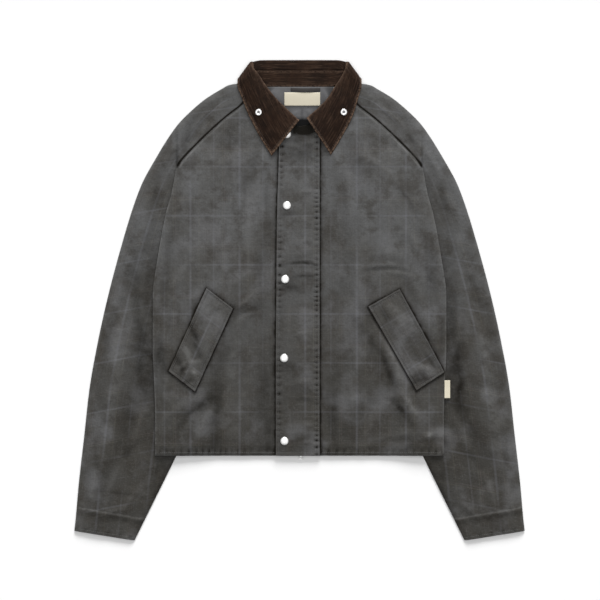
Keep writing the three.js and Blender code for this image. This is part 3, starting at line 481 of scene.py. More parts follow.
def cloth_shell(name, grid, wall, uv, material, wear_and_shading=None, facing_up=None):
    """A closed thin wall under a grid of points on its outer face, with rounded rims. facing_up is the
    row and column of a point whose outer face looks up."""
    rows, columns = grid.shape[:2]
    normal = normals_of(grid)
    if normal[facing_up or (rows // 2, columns // 2)][2] < 0:
        grid, uv = grid[:, ::-1], uv[:, ::-1]
        wear_and_shading = wear_and_shading if wear_and_shading is None else wear_and_shading[:, ::-1]
        wall = wall[:, ::-1] if isinstance(wall, np.ndarray) else wall
        normal = normals_of(grid)
    thick = wall if isinstance(wall, np.ndarray) else np.full((rows, columns), float(wall))
    lower = grid - normal * thick[..., None]
    rim_index = [(0, c) for c in range(columns - 1)] + [(r, columns - 1) for r in range(rows - 1)]
    rim_index += [(rows - 1, c) for c in range(columns - 1, 0, -1)]
    rim_index += [(r, 0) for r in range(rows - 1, 0, -1)]
    r_i, c_i = np.array(rim_index).T
    inner_r = np.clip(r_i, 1, rows - 2)
    inner_c = np.clip(c_i, 1, columns - 2)
    outward = unit(grid[r_i, c_i] - grid[inner_r, inner_c])
    middle = (grid[r_i, c_i] + lower[r_i, c_i]) / 2 + outward * (thick[r_i, c_i] * 0.35)[:, None]
    count = rows * columns
    points = np.concatenate([grid.reshape(-1, 3), lower.reshape(-1, 3), middle])
    flat_uv = uv.reshape(-1, 2)
    all_uv = np.concatenate([flat_uv, flat_uv, uv[r_i, c_i]])
    a = (np.arange(rows - 1)[:, None] * columns + np.arange(columns - 1)[None, :]).ravel()
    top = np.stack([a, a + 1, a + columns + 1, a + columns], 1)
    bottom = np.stack([a, a + columns, a + columns + 1, a + 1], 1) + count
    ring = r_i * columns + c_i
    after = np.roll(ring, -1)
    mid = 2 * count + np.arange(len(ring))
    mid_after = np.roll(mid, -1)
    upper_rim = np.stack([ring, mid, mid_after, after], 1)
    lower_rim = np.stack([mid, ring + count, after + count, mid_after], 1)
    faces = np.concatenate([top, bottom, upper_rim, lower_rim]).tolist()
    all_wear_and_shading = None
    if wear_and_shading is not None:
        all_wear_and_shading = np.concatenate([wear_and_shading.ravel(), wear_and_shading.ravel() * 0, wear_and_shading[r_i, c_i]])
    return mesh_object(name, points, faces, all_uv, material, wear_and_shading=all_wear_and_shading)


def stack3(x, y, z):
    return np.stack(np.broadcast_arrays(x, y, z), axis=-1).astype(float)


def deck_uv(x, y):
    return np.stack([x, y], -1)


def front_grid(side):
    """The upper face of a front: rows up from the hem, columns from its front edge outward."""
    centre_edge = ZIP_X * side + ZIP_HALF + SEAM_GAP
    low = lerp(HEM_Y, 236, shares(FRONT_GRID[0]) ** 0.9)
    y = np.concatenate([low, lerp(236, 379, shares(FRONT_NECK_ROWS)[1:])])
    outer = np.where(y < UNDERARM_Y, body_edge(y) + 0.4, raglan_seam(y) - SEAM_GAP)
    inner = np.where(y > 321, np.maximum(front_neck(y), centre_edge), centre_edge)
    x = side * lerp(inner[:, None], outer[:, None], eased(FRONT_GRID[1])[None, :])
    return x, np.broadcast_to(y[:, None], x.shape)


def make_front(side, wearer, material):
    x, y = front_grid(side)
    rim = np.abs(front_edge_distance(x, y))
    seam = smoothstep(rim, 0, 9) * (1 - smoothstep(rim, 9, 14))
    raised = 0.25 * seam * smoothstep(y, UNDERARM_Y, 252)
    grid = stack3(x, y, front_top(x, y) + raised)
    wall = CLOTH + (HEM_CLOTH - CLOTH) * on_hem(y)
    on_raglan = smoothstep(y, UNDERARM_Y - 2, UNDERARM_Y + 3)
    wear_and_shading = fade(rim, 2.5) * (1 - on_raglan) + 0.8 * fade(y - HEM_Y, 2.0)
    # Along the raglan seam: a painted highlight on the raised side and painted shade in the seam itself.
    wear_and_shading = wear_and_shading + on_raglan * (1.2 * bell(rim, 4.5, 1.8) - 2.0 * bell(rim, 0, 2.0))
    # Crease ridges painted lighter and troughs painted darker, as light and shade; the marks add wax, worn
    # places and painted light and shade.
    wear_and_shading = wear_and_shading + 0.5 * relief(FRONT_CREASES, x, y) + MARK_SHARE * relief(MARKS, x, y)
    # Painted shade in the troughs of the hem's puckers.
    wear_and_shading = wear_and_shading - 1.2 * np.clip(-hem_wave(x), 0, 1) * bell(y, HEM_Y + HEM_PUCKER, 3.5)
    # Painted shadow beside the raised placket.
    to_placket = np.where(side < 0, placket_left(y) - x, x - PLACKET_RIGHT)
    wear_and_shading = wear_and_shading - 1.6 * fade(np.maximum(to_placket, 0), 3.0)
    # Painted shadow round the pocket flaps.
    wear_and_shading = wear_and_shading - 1.4 * fade(flap_distance(x, y), 2.5)
    wear_and_shading = wear_and_shading - 0.35 * bell(y, HEM_Y + 12, 6)
    return cloth_shell(f"front_{wearer}_cloth", grid, wall, deck_uv(x, y), material, wear_and_shading)


def sleeve_ends():
    """Y of the outer and the inner end of each row, from the cuff up."""
    ends = []
    for (outer, inner, count), (next_outer, next_inner, _) in zip(SLEEVE_ROWS, SLEEVE_ROWS[1:]):
        for share in np.arange(count) / count:
            ends.append((lerp(outer, next_outer, share), lerp(inner, next_inner, share)))
    ends.append(SLEEVE_ROWS[-1][:2])
    outer_y, inner_y = np.array(ends, float).T[:, :, None]
    return outer_y, inner_y


def sleeve_upper_top(x, y, outer_distance):
    """Upper face of the sleeve's upper ply, before it rounds over at its outer fold."""
    half = np.abs(x)
    lower = fall_lift(x, y) + SHELL_WALL + SLEEVE_AIR
    cap = smoothstep(y, 243, 256) * (1 - smoothstep(half, CAP_FOLD_X - 3, CAP_FOLD_X + 3))
    open_share = smoothstep(half - body_edge(y), 4, 34) * (1 - smoothstep(y, 150, 230))
    folds = fold_height(x, y) * open_share * smoothstep(outer_distance, 4, 30)
    clear = smoothstep(half - body_edge(y), 2, 12)
    clear = np.maximum(clear, smoothstep(y, 246, 262))
    near_neck = 1 - smoothstep(y, 352, 372)
    creases = CREASE_RISE * relief(SLEEVE_CREASES, x, y) * near_neck
    small = 0.34 * crumple(x, y, 11) + 0.16 * crumple(x, y, 12, 15.0)
    quiet = smoothstep(outer_distance, 2, 16) * clear
    return lerp(lower, upper_deck(x, y), cap) + folds + SHELL_WALL + quiet * (creases + small)


def sleeve_uv(side, y, reach, across, turn, back_across):
    u_upper = UV_FOLD - reach * (1 - across)
    u_arc = UV_FOLD + SLEEVE_FOLD * turn[None, :] * np.ones_like(reach)
    past_fold = reach * (1 - back_across)
    v_upper = y * GRAIN_COS - (UV_FOLD - u_upper) * GRAIN_SIN
    v_fold = v_upper[:, -1:]
    u = np.concatenate([u_upper, u_arc, UV_UNDER + past_fold], 1)
    v = np.concatenate([v_upper, np.repeat(v_fold, len(turn), 1), v_fold - past_fold * GRAIN_SIN], 1)
    return np.stack([u * side, v], -1)


def make_sleeve(side, wearer, material):
    """Both plies of a sleeve in one cloth that turns over at its outer fold, and its cuff's stitch line."""
    outer_y, inner_y = sleeve_ends()
    outer_x = outer_edge(outer_y)
    hidden = np.where(inner_y < 240, upper_hidden(inner_y),
                      raglan_seam(np.maximum(inner_y, UNDERARM_Y)) + SEAM_GAP)
    hidden = np.where(inner_y < 110, sleeve_inner(inner_y), hidden)
    across = eased_both(SLEEVE_ACROSS)[None, :]
    x = lerp(hidden, outer_x - SLEEVE_FOLD, across)
    y = lerp(inner_y, outer_y, across)
    reach = np.hypot(outer_x - hidden, outer_y - inner_y)
    outer_distance = np.maximum(edge_distance(outer_edge, x, y) - SLEEVE_FOLD, 0)
    outer_distance[:, -1] = 0
    lower_top = fall_lift(side * x, y) + CLOTH
    meet = lower_top + 2 * SLEEVE_FOLD - 0.2
    z = sleeve_upper_top(side * x, y, outer_distance)
    z = lerp(z, meet, closing(outer_distance, lerp(10, 20, smoothstep(y, 365, 395))))
    inner_gap = closing(np.abs(x - hidden), 9) * (1 - smoothstep(y, 100, 125))
    z = lerp(z, lower_top + 0.25 + CLOTH, inner_gap)

    cuff = np.hypot(x - lerp(hidden[0], outer_x[0], across), y - lerp(inner_y[0], outer_y[0], across))
    run = across * reach
    pucker = np.sin(run / 2.9 + 2.2 * np.sin(across * 7)) * bell(cuff, CUFF_FACING - 4, 9)
    pucker = pucker + 0.8 * np.sin(run / 3.4 + 1.7) * bell(cuff, STITCH_FROM_EDGE, 3.5)
    open_cuff = smoothstep(np.abs(x - hidden), 3, 12) * smoothstep(outer_distance, 1, 8)
    band = 0.35 * (1 - smoothstep(cuff, CUFF_FACING - 4, CUFF_FACING)) - 0.5 * bell(cuff, CUFF_FACING, 1.4)
    z = z + open_cuff * (0.3 * pucker + band)
    upper = stack3(side * x, y, z)

    turn = np.linspace(0, math.pi, 9)[1:-1]
    slope = (outer_edge(outer_y + 1) - outer_edge(outer_y - 1)) / 2
    direction = unit(np.stack([slope, np.ones_like(outer_y)], -1))
    sweep = SLEEVE_FOLD * np.sin(turn)[None, :]
    top_z = z[:, -1:]
    low_z = lower_top[:, -1:] - CLOTH
    arc_z = (top_z + low_z) / 2 + (top_z - low_z) / 2 * np.cos(turn)[None, :]
    arc_x = x[:, -1:] + direction[..., 1] * sweep
    arc = stack3(side * arc_x, y[:, -1:] - direction[..., 0] * sweep, arc_z)

    back_across = shares(SLEEVE_UNDER)[None, ::-1]
    past_neck = (inner_y - SLEEVE_NECK_Y) / (SLEEVE_ROWS[-1][1] - SLEEVE_NECK_Y)
    lower_inner_y = np.where(past_neck > 0, lerp(SLEEVE_NECK_Y, UNDER_NECK_Y, past_neck), inner_y)
    under_x = lerp(sleeve_inner(lower_inner_y), outer_x - SLEEVE_FOLD, back_across)
    under_y = lerp(lower_inner_y, outer_y, back_across)
    under = stack3(side * under_x, under_y, fall_lift(side * under_x, under_y))

    # Worn places along the fold and the cuff, mixed with painted light and shade below.
    worn = 0.7 * fade(outer_distance, 3) + 0.9 * fade(cuff, 2.2) + 0.7 * bell(cuff, CUFF_FACING, 2.4)
    # Crease ridges painted lighter and troughs painted darker, as light and shade; the marks add wax, worn
    # places and painted light and shade.
    worn += 0.5 * relief(SLEEVE_CREASES, side * x, y) + MARK_SHARE * relief(MARKS, side * x, y)
    # Painted shadow cast by the body's edge onto the sleeve.
    worn -= 0.55 * fade(past_body(x, y), 14) * (1 - smoothstep(y, 225, 250))
    worn -= 0.5 * bell(cuff, 36, 6)
    # Painted shade in the troughs of the cuff's puckers.
    worn -= 1.1 * np.clip(-pucker, 0, 1) * (1 - smoothstep(cuff, 3, 14))
    # Painted shade along the raglan seam.
    worn -= 2.0 * bell(x, hidden, 2.6) * smoothstep(y, UNDERARM_Y, 250)
    wear_and_shading = np.concatenate([worn, np.full(arc.shape[:2], 0.7), np.zeros(under.shape[:2])], 1)
    uv = sleeve_uv(side, y, reach, across, turn, back_across)
    grid = np.concatenate([upper, arc, under], 1)
    piece = cloth_shell(f"sleeve_{wearer}_cloth", grid, CLOTH, uv, material, wear_and_shading)
    nearest = np.argmin(np.abs(cuff - STITCH_FROM_EDGE), axis=0)
    route = upper[nearest, np.arange(upper.shape[1])] + np.array([0, 0, STITCH_LIFT])
    return piece, route[6:-14]


def make_back(material):
    """The back panel, drawn from its lower face up."""
    y = np.concatenate([lerp(HEM_Y, 230, shares(BACK_GRID[0])),
                        lerp(230, BACK_NECK_Y, shares(BACK_NECK_ROWS)[1:])])
    outer = np.where(y > 232, back_hidden(y), body_edge(y) - SEAM_GAP)
    outer = np.where(y > 296, sleeve_inner(y) - 0.9, outer)
    x = outer[:, None] * np.linspace(-1, 1, BACK_GRID[1] + 1)[None, :]
    y = np.broadcast_to(y[:, None], x.shape)
    worn = 0.12 * (1 + crumple(x, y, 21)) * smoothstep(outer[:, None] - np.abs(x), 4, 30)
    wall = CLOTH + 0.35 * on_hem(y)
    grid = stack3(x, y, back_bottom(x, y) + wall + worn)
    return cloth_shell("back_cloth", grid, wall, deck_uv(x, y), material, 0.8 * fade(y - HEM_Y, 2.0))


def flap_point(corners, down, across):
    """A place on a flap, down its long side and across its short one, from 0 to 1."""
    top_left, top_right, low_right, low_left = np.array(corners)
    left = [lerp(top_left[k], low_left[k], down) for k in range(2)]
    right = [lerp(top_right[k], low_right[k], down) for k in range(2)]
    return lerp(left[0], right[0], across), lerp(left[1], right[1], across)


def flap_size(corners):
    return math.dist(corners[0], corners[1]), math.dist(corners[1], corners[2])


def flap_top(corners, down, across):
    x, y = flap_point(corners, down, across)
    width, length = flap_size(corners)
    to_side = np.minimum(across, 1 - across) * width
    to_end = np.minimum(down, 1 - down) * length
    rim = np.minimum(to_side, to_end)
    stitch = bell(rim, STITCH_FROM_EDGE, 1.5)
    run = np.where(to_side < to_end, down * length, across * width)
    pucker = 0.12 * np.sin(run / 1.9 + 1.4 * np.sin(run / 17)) * bell(rim, 4.5, 3)
    swell = 0.35 * bell(rim, 2.4, 2.0)
    inner = smoothstep(rim, 4, 14)
    small = 0.16 * crumple(x, y, 31, 26.0) * inner
    z = front_open(x, y) + SHELL_WALL + REST_GAP + FLAP_WALL
    z = z - 0.3 * stitch + pucker + swell - 0.55 * fade(rim, 0.8) + small
    return x, y, z + relief(FLAP_CREASES, x, y) * inner, rim


def make_flap(wearer, material):
    corners = FLAPS[wearer]
    down, across = eased_both(FLAP_GRID[0])[:, None], eased_both(FLAP_GRID[1])[None, :]
    down, across = np.broadcast_arrays(down, across)
    x, y, z, rim = flap_top(corners, down, across)
    grid = stack3(x, y, z)
    width, length = flap_size(corners)
    uv = np.stack([across * width + FLAP_UV[0], down * length + FLAP_UV[1]], -1)
    # A paler band along the rolled edge; painted shade at the very edge and along the sunk stitch line;
    # fold ridges painted lighter and troughs darker, with the flap marks' painted shade and highlights.
    wear_and_shading = 0.35 * bell(rim, 2.4, 1.2) - 2.2 * fade(rim, 1.0)
    wear_and_shading = wear_and_shading - 0.5 * bell(rim, 5.8, 1.1) + relief(FLAP_CREASES + FLAP_MARKS, x, y)
    return cloth_shell(f"flap_{wearer}_cloth", grid, FLAP_WALL * 0.72, uv, material, wear_and_shading)


PLACKET_CREASES = [(8, 74, 2, 24, 3.2, 0.5), (6, 68, -3, 26, 2.6, -0.7), (10, 44, 1, 20, 2.4, -0.5),
                   (14, 200, 3, 22, 4, 0.5), (-6, 150, -6, 26, 5, 0.4), (12, 110, 4, 22, 4, 0.4),
                   (4, -20, -4, 26, 5, 0.4), (16, -60, 3, 18, 4, 0.5), (8, -150, 5, 26, 5, 0.5),
                   (14, -185, -2, 20, 4, -0.4), (6, -230, 2, 28, 5, 0.4), (14, -262, 4, 20, 4, 0.5),
                   (0, 240, 3, 26, 5, 0.4), (-10, 285, -12, 22, 5, 0.5), (18, 292, 8, 18, 4, 0.5)]
# How far each row of the placket's sewing lies from its edge, and where its turn at the neck starts
PLACKET_STITCHES = {"free": 5.0, "inner": 3.0, "outer": 9.0, "hem": 6.0}
PLACKET_NECK_Y = 304


def inner_pull(y):
    strength = 0.65 + 0.35 * np.sin(y / 23 + 1)
    return strength * np.sin(y / 1.6 + 1.9 * np.sin(y / 31) + 1.1 * np.sin(y / 9.7))


def free_pull(y):
    return np.sin(y / 2.1 + 2.4 * np.sin(y / 19)) * (0.6 + 0.4 * np.sin(y / 37))


def placket_plain_top(x, y):
    return front_bottom(x, y) + SHELL_WALL + REST_GAP + PLACKET_WALL


def placket_top(x, y):
    to_left = x - placket_left(y)
    to_right = PLACKET_RIGHT - x
    pull = inner_pull(y) + 0.5 * np.sin(y / 2.7 + 2 * np.sin(y / 47))
    right_pucker = 0.42 * pull * bell(to_right, 7, 4.5)
    left_pucker = 0.30 * free_pull(y) * bell(to_left, 6, 6.5)
    rows = -0.3 * (bell(to_right, PLACKET_STITCHES["inner"], 1.0)
                   + bell(to_right, PLACKET_STITCHES["outer"], 1.0)
                   + bell(to_left, PLACKET_STITCHES["free"], 1.2))
    middle = smoothstep(to_left, 6, 16) * smoothstep(to_right, 10, 18)
    small = (0.16 * crumple(x, y, 41, 22.0) + relief(PLACKET_CREASES, x, y)) * middle
    edge = -0.6 * fade(to_left, 0.9) - 0.35 * fade(to_right, 0.8)
    hem = -0.25 * bell(y, HEM_Y + PLACKET_STITCHES["hem"], 1.2)
    return placket_plain_top(x, y) + right_pucker + left_pucker + rows + small + edge + hem


def neck_height(x):
    return front_neck_height(np.abs(x)) - 1.0


def make_placket(material):
    low = lerp(HEM_Y, PLACKET_NECK_Y, shares(PLACKET_GRID[0]))
    columns = shares(PLACKET_GRID[1])[None, :]
    y = np.repeat(low[:, None], columns.size, 1)
    x = lerp(placket_left(y), PLACKET_RIGHT, columns)
    top_x = np.repeat(x[-1:], PLACKET_NECK_ROWS, 0)
    top_y = lerp(PLACKET_NECK_Y, neck_height(top_x), shares(PLACKET_NECK_ROWS)[1:, None])
    x = np.concatenate([x, top_x])
    y = np.concatenate([y, top_y])
    to_left, to_right = x - placket_left(y), PLACKET_RIGHT - x
    wear_and_shading = 0.8 * bell(to_left, 1.8, 1.2) + 0.4 * bell(to_right, 1.6, 1.0)
    # Painted shade along both edges of the placket.
    wear_and_shading = wear_and_shading - 1.2 * fade(to_left, 0.6) - 1.6 * fade(to_right, 0.8)
    wear_and_shading = wear_and_shading + 0.6 * fade(y - HEM_Y, 2.0) + 0.8 * relief(MARKS, x, y)
    # Crease ridges painted lighter and troughs painted darker, as light and shade.
    wear_and_shading = wear_and_shading + 0.8 * relief(PLACKET_CREASES, x, y)
    # Painted shade in the troughs of the puckers along both sides.
    wear_and_shading = wear_and_shading - 1.3 * np.clip(-inner_pull(y), 0, 1) * bell(to_right, 6.5, 4.0)
    wear_and_shading = wear_and_shading - 1.2 * np.clip(-free_pull(y), 0, 1) * bell(to_left, 6, 4.5)
    # Painted shadow under the collar's front ends at the neck.
    wear_and_shading = wear_and_shading - 2.4 * smoothstep(y, 300, 312) * bell(x, 6, 22)
    grid = stack3(x, y, placket_top(x, y))
    uv = deck_uv(x + PLACKET_UV_X, y)
    return cloth_shell("placket_cloth", grid, PLACKET_WALL * 0.75, uv, material, wear_and_shading)


def mirrored(rows):
    flip = {0, 3, 6}
    return [tuple(-v if i in flip else v for i, v in enumerate(row)) for row in rows]


STATIONS = (mirrored((COLLAR_BACK[1:] + COLLAR_RIGHT)[::-1]) + COLLAR_BACK + COLLAR_LEFT)
LAST_STATION = len(STATIONS) - 1
station_curve = {name: curve([(i, row[column]) for i, row in enumerate(STATIONS)])
                 for column, name in enumerate(COLLAR_COLUMNS)}


def collar_surface(station, across):
    """Middle surface of the collar. across is 0 to 1 up the stand, 1 to 2 round the roll, 2 to 3 down
    the fall. Also gives the length of the fall."""
    value = {name: at(station) for name, at in station_curve.items()}
    turn = np.radians(value["turn"])
    neck = stack3(value["nx"], value["ny"], value["nz"])
    edge = stack3(value["ex"], value["ey"], value["ez"])
    outside = stack3(value["rx"], value["ry"], value["rz"])
    flat = np.array([1.0, 1.0, 0.0])
    away = unit((outside - edge) * flat)
    side = np.sign(value["rx"] + 1e-6)
    sideways = stack3(side * np.abs(away[..., 1]), np.abs(away[..., 0]), np.zeros_like(turn))
    normal = sideways * np.sin(turn)[..., None]
    normal[..., 2] = np.cos(turn)
    normal = unit(normal)
    roll = value["roll"][..., None]
    centre = outside - away * (roll + COLLAR_WALL / 2)
    leaning = (np.sin(turn) > 0.5)[..., None]
    centre = np.where(leaning, centre - normal * roll * np.sin(turn)[..., None], centre)
    stand_top = centre - normal * roll
    fall_top = centre + normal * roll
    a = across[..., None]
    stand = neck + (stand_top - neck) * np.clip(a, 0, 1)
    angle = math.pi * np.clip(a - 1, 0, 1)
    round_roll = centre - normal * roll * np.cos(angle) + away * roll * np.sin(angle)
    share = np.clip(a - 2, 0, 1)
    puff = 1.4 * np.maximum(0, np.cos(turn))[..., None] * np.sin(math.pi * share)
    fall = fall_top + (edge - fall_top) * share + puff * np.array([0, 0, 1.0])
    point = np.where(a <= 1, stand, np.where(a >= 2, fall, round_roll))
    return point, np.linalg.norm(edge - fall_top, axis=-1), np.linalg.norm(stand_top - neck, axis=-1)


# The wales' width and height, the leaf's seam and the stand's top as shares up the stand
WALE = 3.0
WALE_HEIGHT = 0.28
LEAF_SEAM = 0.67
STAND_TOP = LEAF_SEAM - 0.025

# Lengths: round the roll, from one station to the next for the weave and at the front ends, and
# from the leaf's edge to its sewing
ROLL_LENGTH = 6.0
UV_PER_STATION = 26.0
TIP_PER_STATION = 34.0
LEAF_STITCH = 6.0


def ribs(distance):
    return WALE_HEIGHT * np.abs(np.sin(math.pi * distance / WALE)) ** 0.7


def make_collar(material):
    """The leaf: roll and fall with raised wales that run along the collar."""
    tip = shares(LEAF_TIP_ROWS) ** 1.6 * 0.5
    middle = lerp(0.5, LAST_STATION - 0.5, shares(LEAF_GRID[0])[1:-1])
    station = np.concatenate([tip, middle, LAST_STATION - tip[::-1]])[:, None]
    across = np.concatenate([lerp(LEAF_SEAM, 1, shares(12)), lerp(1, 2, shares(10)[1:]),
                             lerp(2, 3, shares(LEAF_GRID[1])[1:])])
    station, across = np.broadcast_arrays(station, across[None, :])
    points, fall, stand = collar_surface(station, across)
    past_roll = np.where(across >= 1, (2 - across) * ROLL_LENGTH, ROLL_LENGTH + (1 - across) * stand)
    to_edge = np.where(across >= 2, (3 - across) * fall, fall + past_roll)
    to_tip = np.minimum(station, LAST_STATION - station) * TIP_PER_STATION
    rim = np.minimum(to_edge, to_tip)
    stitch_line = bell(rim, LEAF_STITCH, 1.6)
    wave = 0.5 * crumple(points[..., 0], points[..., 1], 51, 30.0) * smoothstep(rim, 5, 16)
    front = np.cos(np.radians(station_curve["turn"](station)))
    lift = wave * np.clip(front, 0, 1) * smoothstep(across, 2.0, 2.2)
    lift = lift + ribs(to_edge) * (1 - stitch_line) - 0.3 * bell(rim, LEAF_STITCH, 1.1)
    lift = lift - 0.7 * fade(rim, 0.7)
    normal = normals_of(points)
    sign = np.sign(normal[-1, -1, 2])
    grid = points + sign * normal * (COLLAR_WALL / 2 - WALE_HEIGHT + lift)[..., None]
    uv = np.stack([station * UV_PER_STATION, to_edge], -1)
    on_roll = 0.3 * bell(across, 1.7, 0.35) + bell(across, 1.45, 0.22)
    wear_and_shading = 1.1 * bell(rim, 1.5, 3.2) + on_roll * np.clip(front + 0.3, 0, 1)
    return cloth_shell("collar_leaf_corduroy", grid, COLLAR_WALL * 0.8, uv, material, wear_and_shading,
                       facing_up=(-4, -4))


def make_stand(material):
    station = lerp(0, LAST_STATION, shares(STAND_GRID[0]))[:, None]
    across = lerp(0, STAND_TOP, shares(STAND_GRID[1]))[None, :]
    station, across = np.broadcast_arrays(station, across)
    points, _, stand = collar_surface(station, across)
    up = across * stand
    to_top = (STAND_TOP - across) * stand
    normal = normals_of(points)
    sign = np.sign(normal[len(normal) // 2, 5, 2])
    puffs = 0.175 * np.sin(station * 9.0 + 1.5 * np.sin(station * 3)) * bell(up, 4, 4)
    lift = 0.55 + ribs(up) - 0.35 * bell(to_top, 2.5, 1.0) + puffs
    grid = points + sign * normal * lift[..., None]
    uv = np.stack([station * UV_PER_STATION, up + STAND_UV_Y], -1)
    wear_and_shading = 0.9 * fade(up, 2.2) + 0.5 * bell(to_top, 2.5, 1.5)
    return cloth_shell("collar_stand_corduroy", grid, 1.3, uv, material, wear_and_shading)


def lining_top(x, y):
    return back_bottom(x, y) + SHELL_WALL + REST_GAP + LINING_WALL


# Left, right, lower and upper side of the small flat pieces
LINING_BOX = (-62, 62, 300, 393.2)
LABEL_BOX = (-28, 38, 358.7, 383)
LOOP_BOX = (-16, 38, 385.6, 391.4)
TAB_BOX = (267.4, 277.7, -180.9, -148.4)
LINING_CREASES = [(-46, 368, 78, 24, 5, 0.9), (-36, 350, 60, 20, 4, -0.6), (50, 372, -70, 22, 5, 0.9),
                  (20, 342, -60, 18, 4, 0.8), (-14, 340, 40, 20, 4, 0.8), (4, 346, 88, 12, 3, -0.6),
                  (-52, 382, 40, 16, 4, 0.7), (44, 352, -50, 16, 4, -0.6)]


def rectangle(box, columns, rows):
    left, right, low, high = box
    x, y = lerp(left, right, shares(columns)), lerp(low, high, shares(rows))
    return np.broadcast_arrays(x[None, :], y[:, None])


def make_lining(material):
    x, y = rectangle(LINING_BOX, *LINING_GRID)
    soft = 0.28 * crumple(x, y, 61, 26.0) + relief(LINING_CREASES, x, y)
    soft = soft * smoothstep(LINING_BOX[3] - y, 2, 12)
    beside_label = outside(x, LABEL_BOX[0] - 2, LABEL_BOX[1] + 2, 4)
    free = np.clip(beside_label + smoothstep(356 - y, 0, 8), 0, 1)
    grid = stack3(x, y, lining_top(x, y) + np.minimum(soft, 1.0) * free)
    shade = -2.0 * (1 - smoothstep(y, 326, 342)) - 0.7 * (1 - smoothstep(LINING_BOX[1] - np.abs(x), 4, 26))
    shade = shade + 0.8 * relief(LINING_CREASES, x, y)
    return cloth_shell("back_lining_cloth", grid, 0.8, deck_uv(x, y), material, shade)


def tape_top(x, y):
    return lining_top(x, y) + SEAM_GAP + LABEL_WALL


def make_label(material):
    left, right, low, high = LABEL_BOX
    x, y = rectangle(LABEL_BOX, 66, 30)
    rim = np.minimum(np.minimum(x - left, right - x), np.minimum(y - low, high - y))
    z = tape_top(x, y) + 0.3 * np.sin(math.pi * (x - left) / (right - left)) - 0.3 * fade(rim, 0.5)
    return cloth_shell("neck_label_tape", stack3(x, y, z), 0.6, deck_uv(x, y), material, fade(rim, 1.0))


def make_loop(material):
    left, right, low, high = LOOP_BOX
    x, y = rectangle(LOOP_BOX, 70, 12)
    along = (x - left) / (right - left)
    arch = np.sin(math.pi * along)
    to_end = np.minimum(x - left, right - x)
    rounding = 0.25 * np.cos((y - (low + high) / 2) / (high - low) * math.pi)
    z = tape_top(x, y) + 1.6 * arch - 0.2 * bell(to_end, 0, 2.5) + rounding
    grid = stack3(x, y - 1.2 * arch, z)
    return cloth_shell("hanger_loop_tape", grid, 0.8, deck_uv(x, y), material, 0 * x)


def make_side_tab(material):
    x, y = rectangle(TAB_BOX, 14, 36)
    edge = body_edge(y) + 1.2
    z = front_bottom(np.minimum(x, edge), y) + SHELL_WALL + SEAM_GAP + LABEL_WALL
    z = z - 2.3 * smoothstep(x, edge, edge + 8) + 0.15 * np.sin((y + 150) / 7)
    return cloth_shell("side_tab_tape", stack3(x, y, z), 0.7, deck_uv(x, y), material, 0 * x)


def turned(name, section, centre, normal, material, eye=0.0):
    """A cap turned from a half section, which starts and ends on the axis. Within eye it is painted grey as
    shade.
    """
    points, rings, faces = [], [], []
    for radius, height in section:
        count = 1 if radius == 0 else CAP_SEGMENTS
        rings.append(range(len(points), len(points) + count))
        for i in range(count):
            a = 2 * math.pi * i / CAP_SEGMENTS
            points.append((radius * math.cos(a), radius * math.sin(a), height))
    for low, high in zip(rings, rings[1:]):
        for i in range(CAP_SEGMENTS):
            j = i + 1
            face = (low[i % len(low)], low[j % len(low)], high[j % len(high)], high[i % len(high)])
            faces.append(tuple(dict.fromkeys(face)))
    spin = Vector((0, 0, 1)).rotation_difference(Vector(normal)).to_matrix()
    placed = [tuple(spin @ Vector(p) + Vector(centre)) for p in points]
    shade = [-1.0 if math.hypot(p[0], p[1]) < eye and p[2] > 0 else 0.0 for p in points]
    return mesh_object(name, placed, faces, [p[:2] for p in points], material, wear_and_shading=shade)


# Half sections of the caps as (radius, height), and the radius of a stud's eye, which is painted grey as
# shade
SNAP_SECTION = [(0, 0), (7.0, 0), (7.42, 0.2), (7.5, 0.5), (7.42, 0.8), (7.15, 1.05), (6.75, 1.25),
                (6.2, 1.46), (5.5, 1.68), (4.6, 1.92), (3.4, 2.16), (2.2, 2.32), (1.1, 2.39), (0, 2.4)]
STUD_SECTION = [(0, 0), (5.5, 0), (5.85, 0.2), (6.0, 0.5), (5.95, 0.85), (5.7, 1.2), (5.3, 1.42),
                (4.8, 1.52), (4.2, 1.56), (3.5, 1.52), (3.0, 1.42), (2.65, 1.25), (2.45, 1.0), (2.3, 0.8),
                (2.0, 0.72), (1.6, 0.8), (1.1, 0.9), (0.5, 0.95), (0, 0.96)]
STUD_EYE = 2.4
CAP_SEGMENTS = 48


def surface_facing(height, x, y, step=5.0):
    def slope(dx, dy):
        rise = height(np.array(x + dx), np.array(y + dy)) - height(np.array(x - dx), np.array(y - dy))
        return float(rise) / (2 * step)

    return Vector((-slope(step, 0), -slope(0, step), 1)).normalized()


def fall_near(x, y):
    """The place on the collar's fall over (x, y), and the way it faces."""
    stations, places = np.linspace(0, LAST_STATION, 401), np.linspace(2.05, 2.95, 46)
    points = collar_surface(*np.meshgrid(stations, places, indexing="ij"))[0]
    below = np.where(points[..., 2] < 5, 100, 0)
    nearest = np.argmin(np.hypot(points[..., 0] - x, points[..., 1] - y) + below)
    r, c = np.unravel_index(nearest, below.shape)
    normal = normals_of(points)[r, c]
    return points[r, c], normal * math.copysign(1, normal[2])


PULL_EYE = (2.6, -288.7, 3.9)
PULL_HALF = (4.4, 2.7)
PULL_WIRE = 0.6


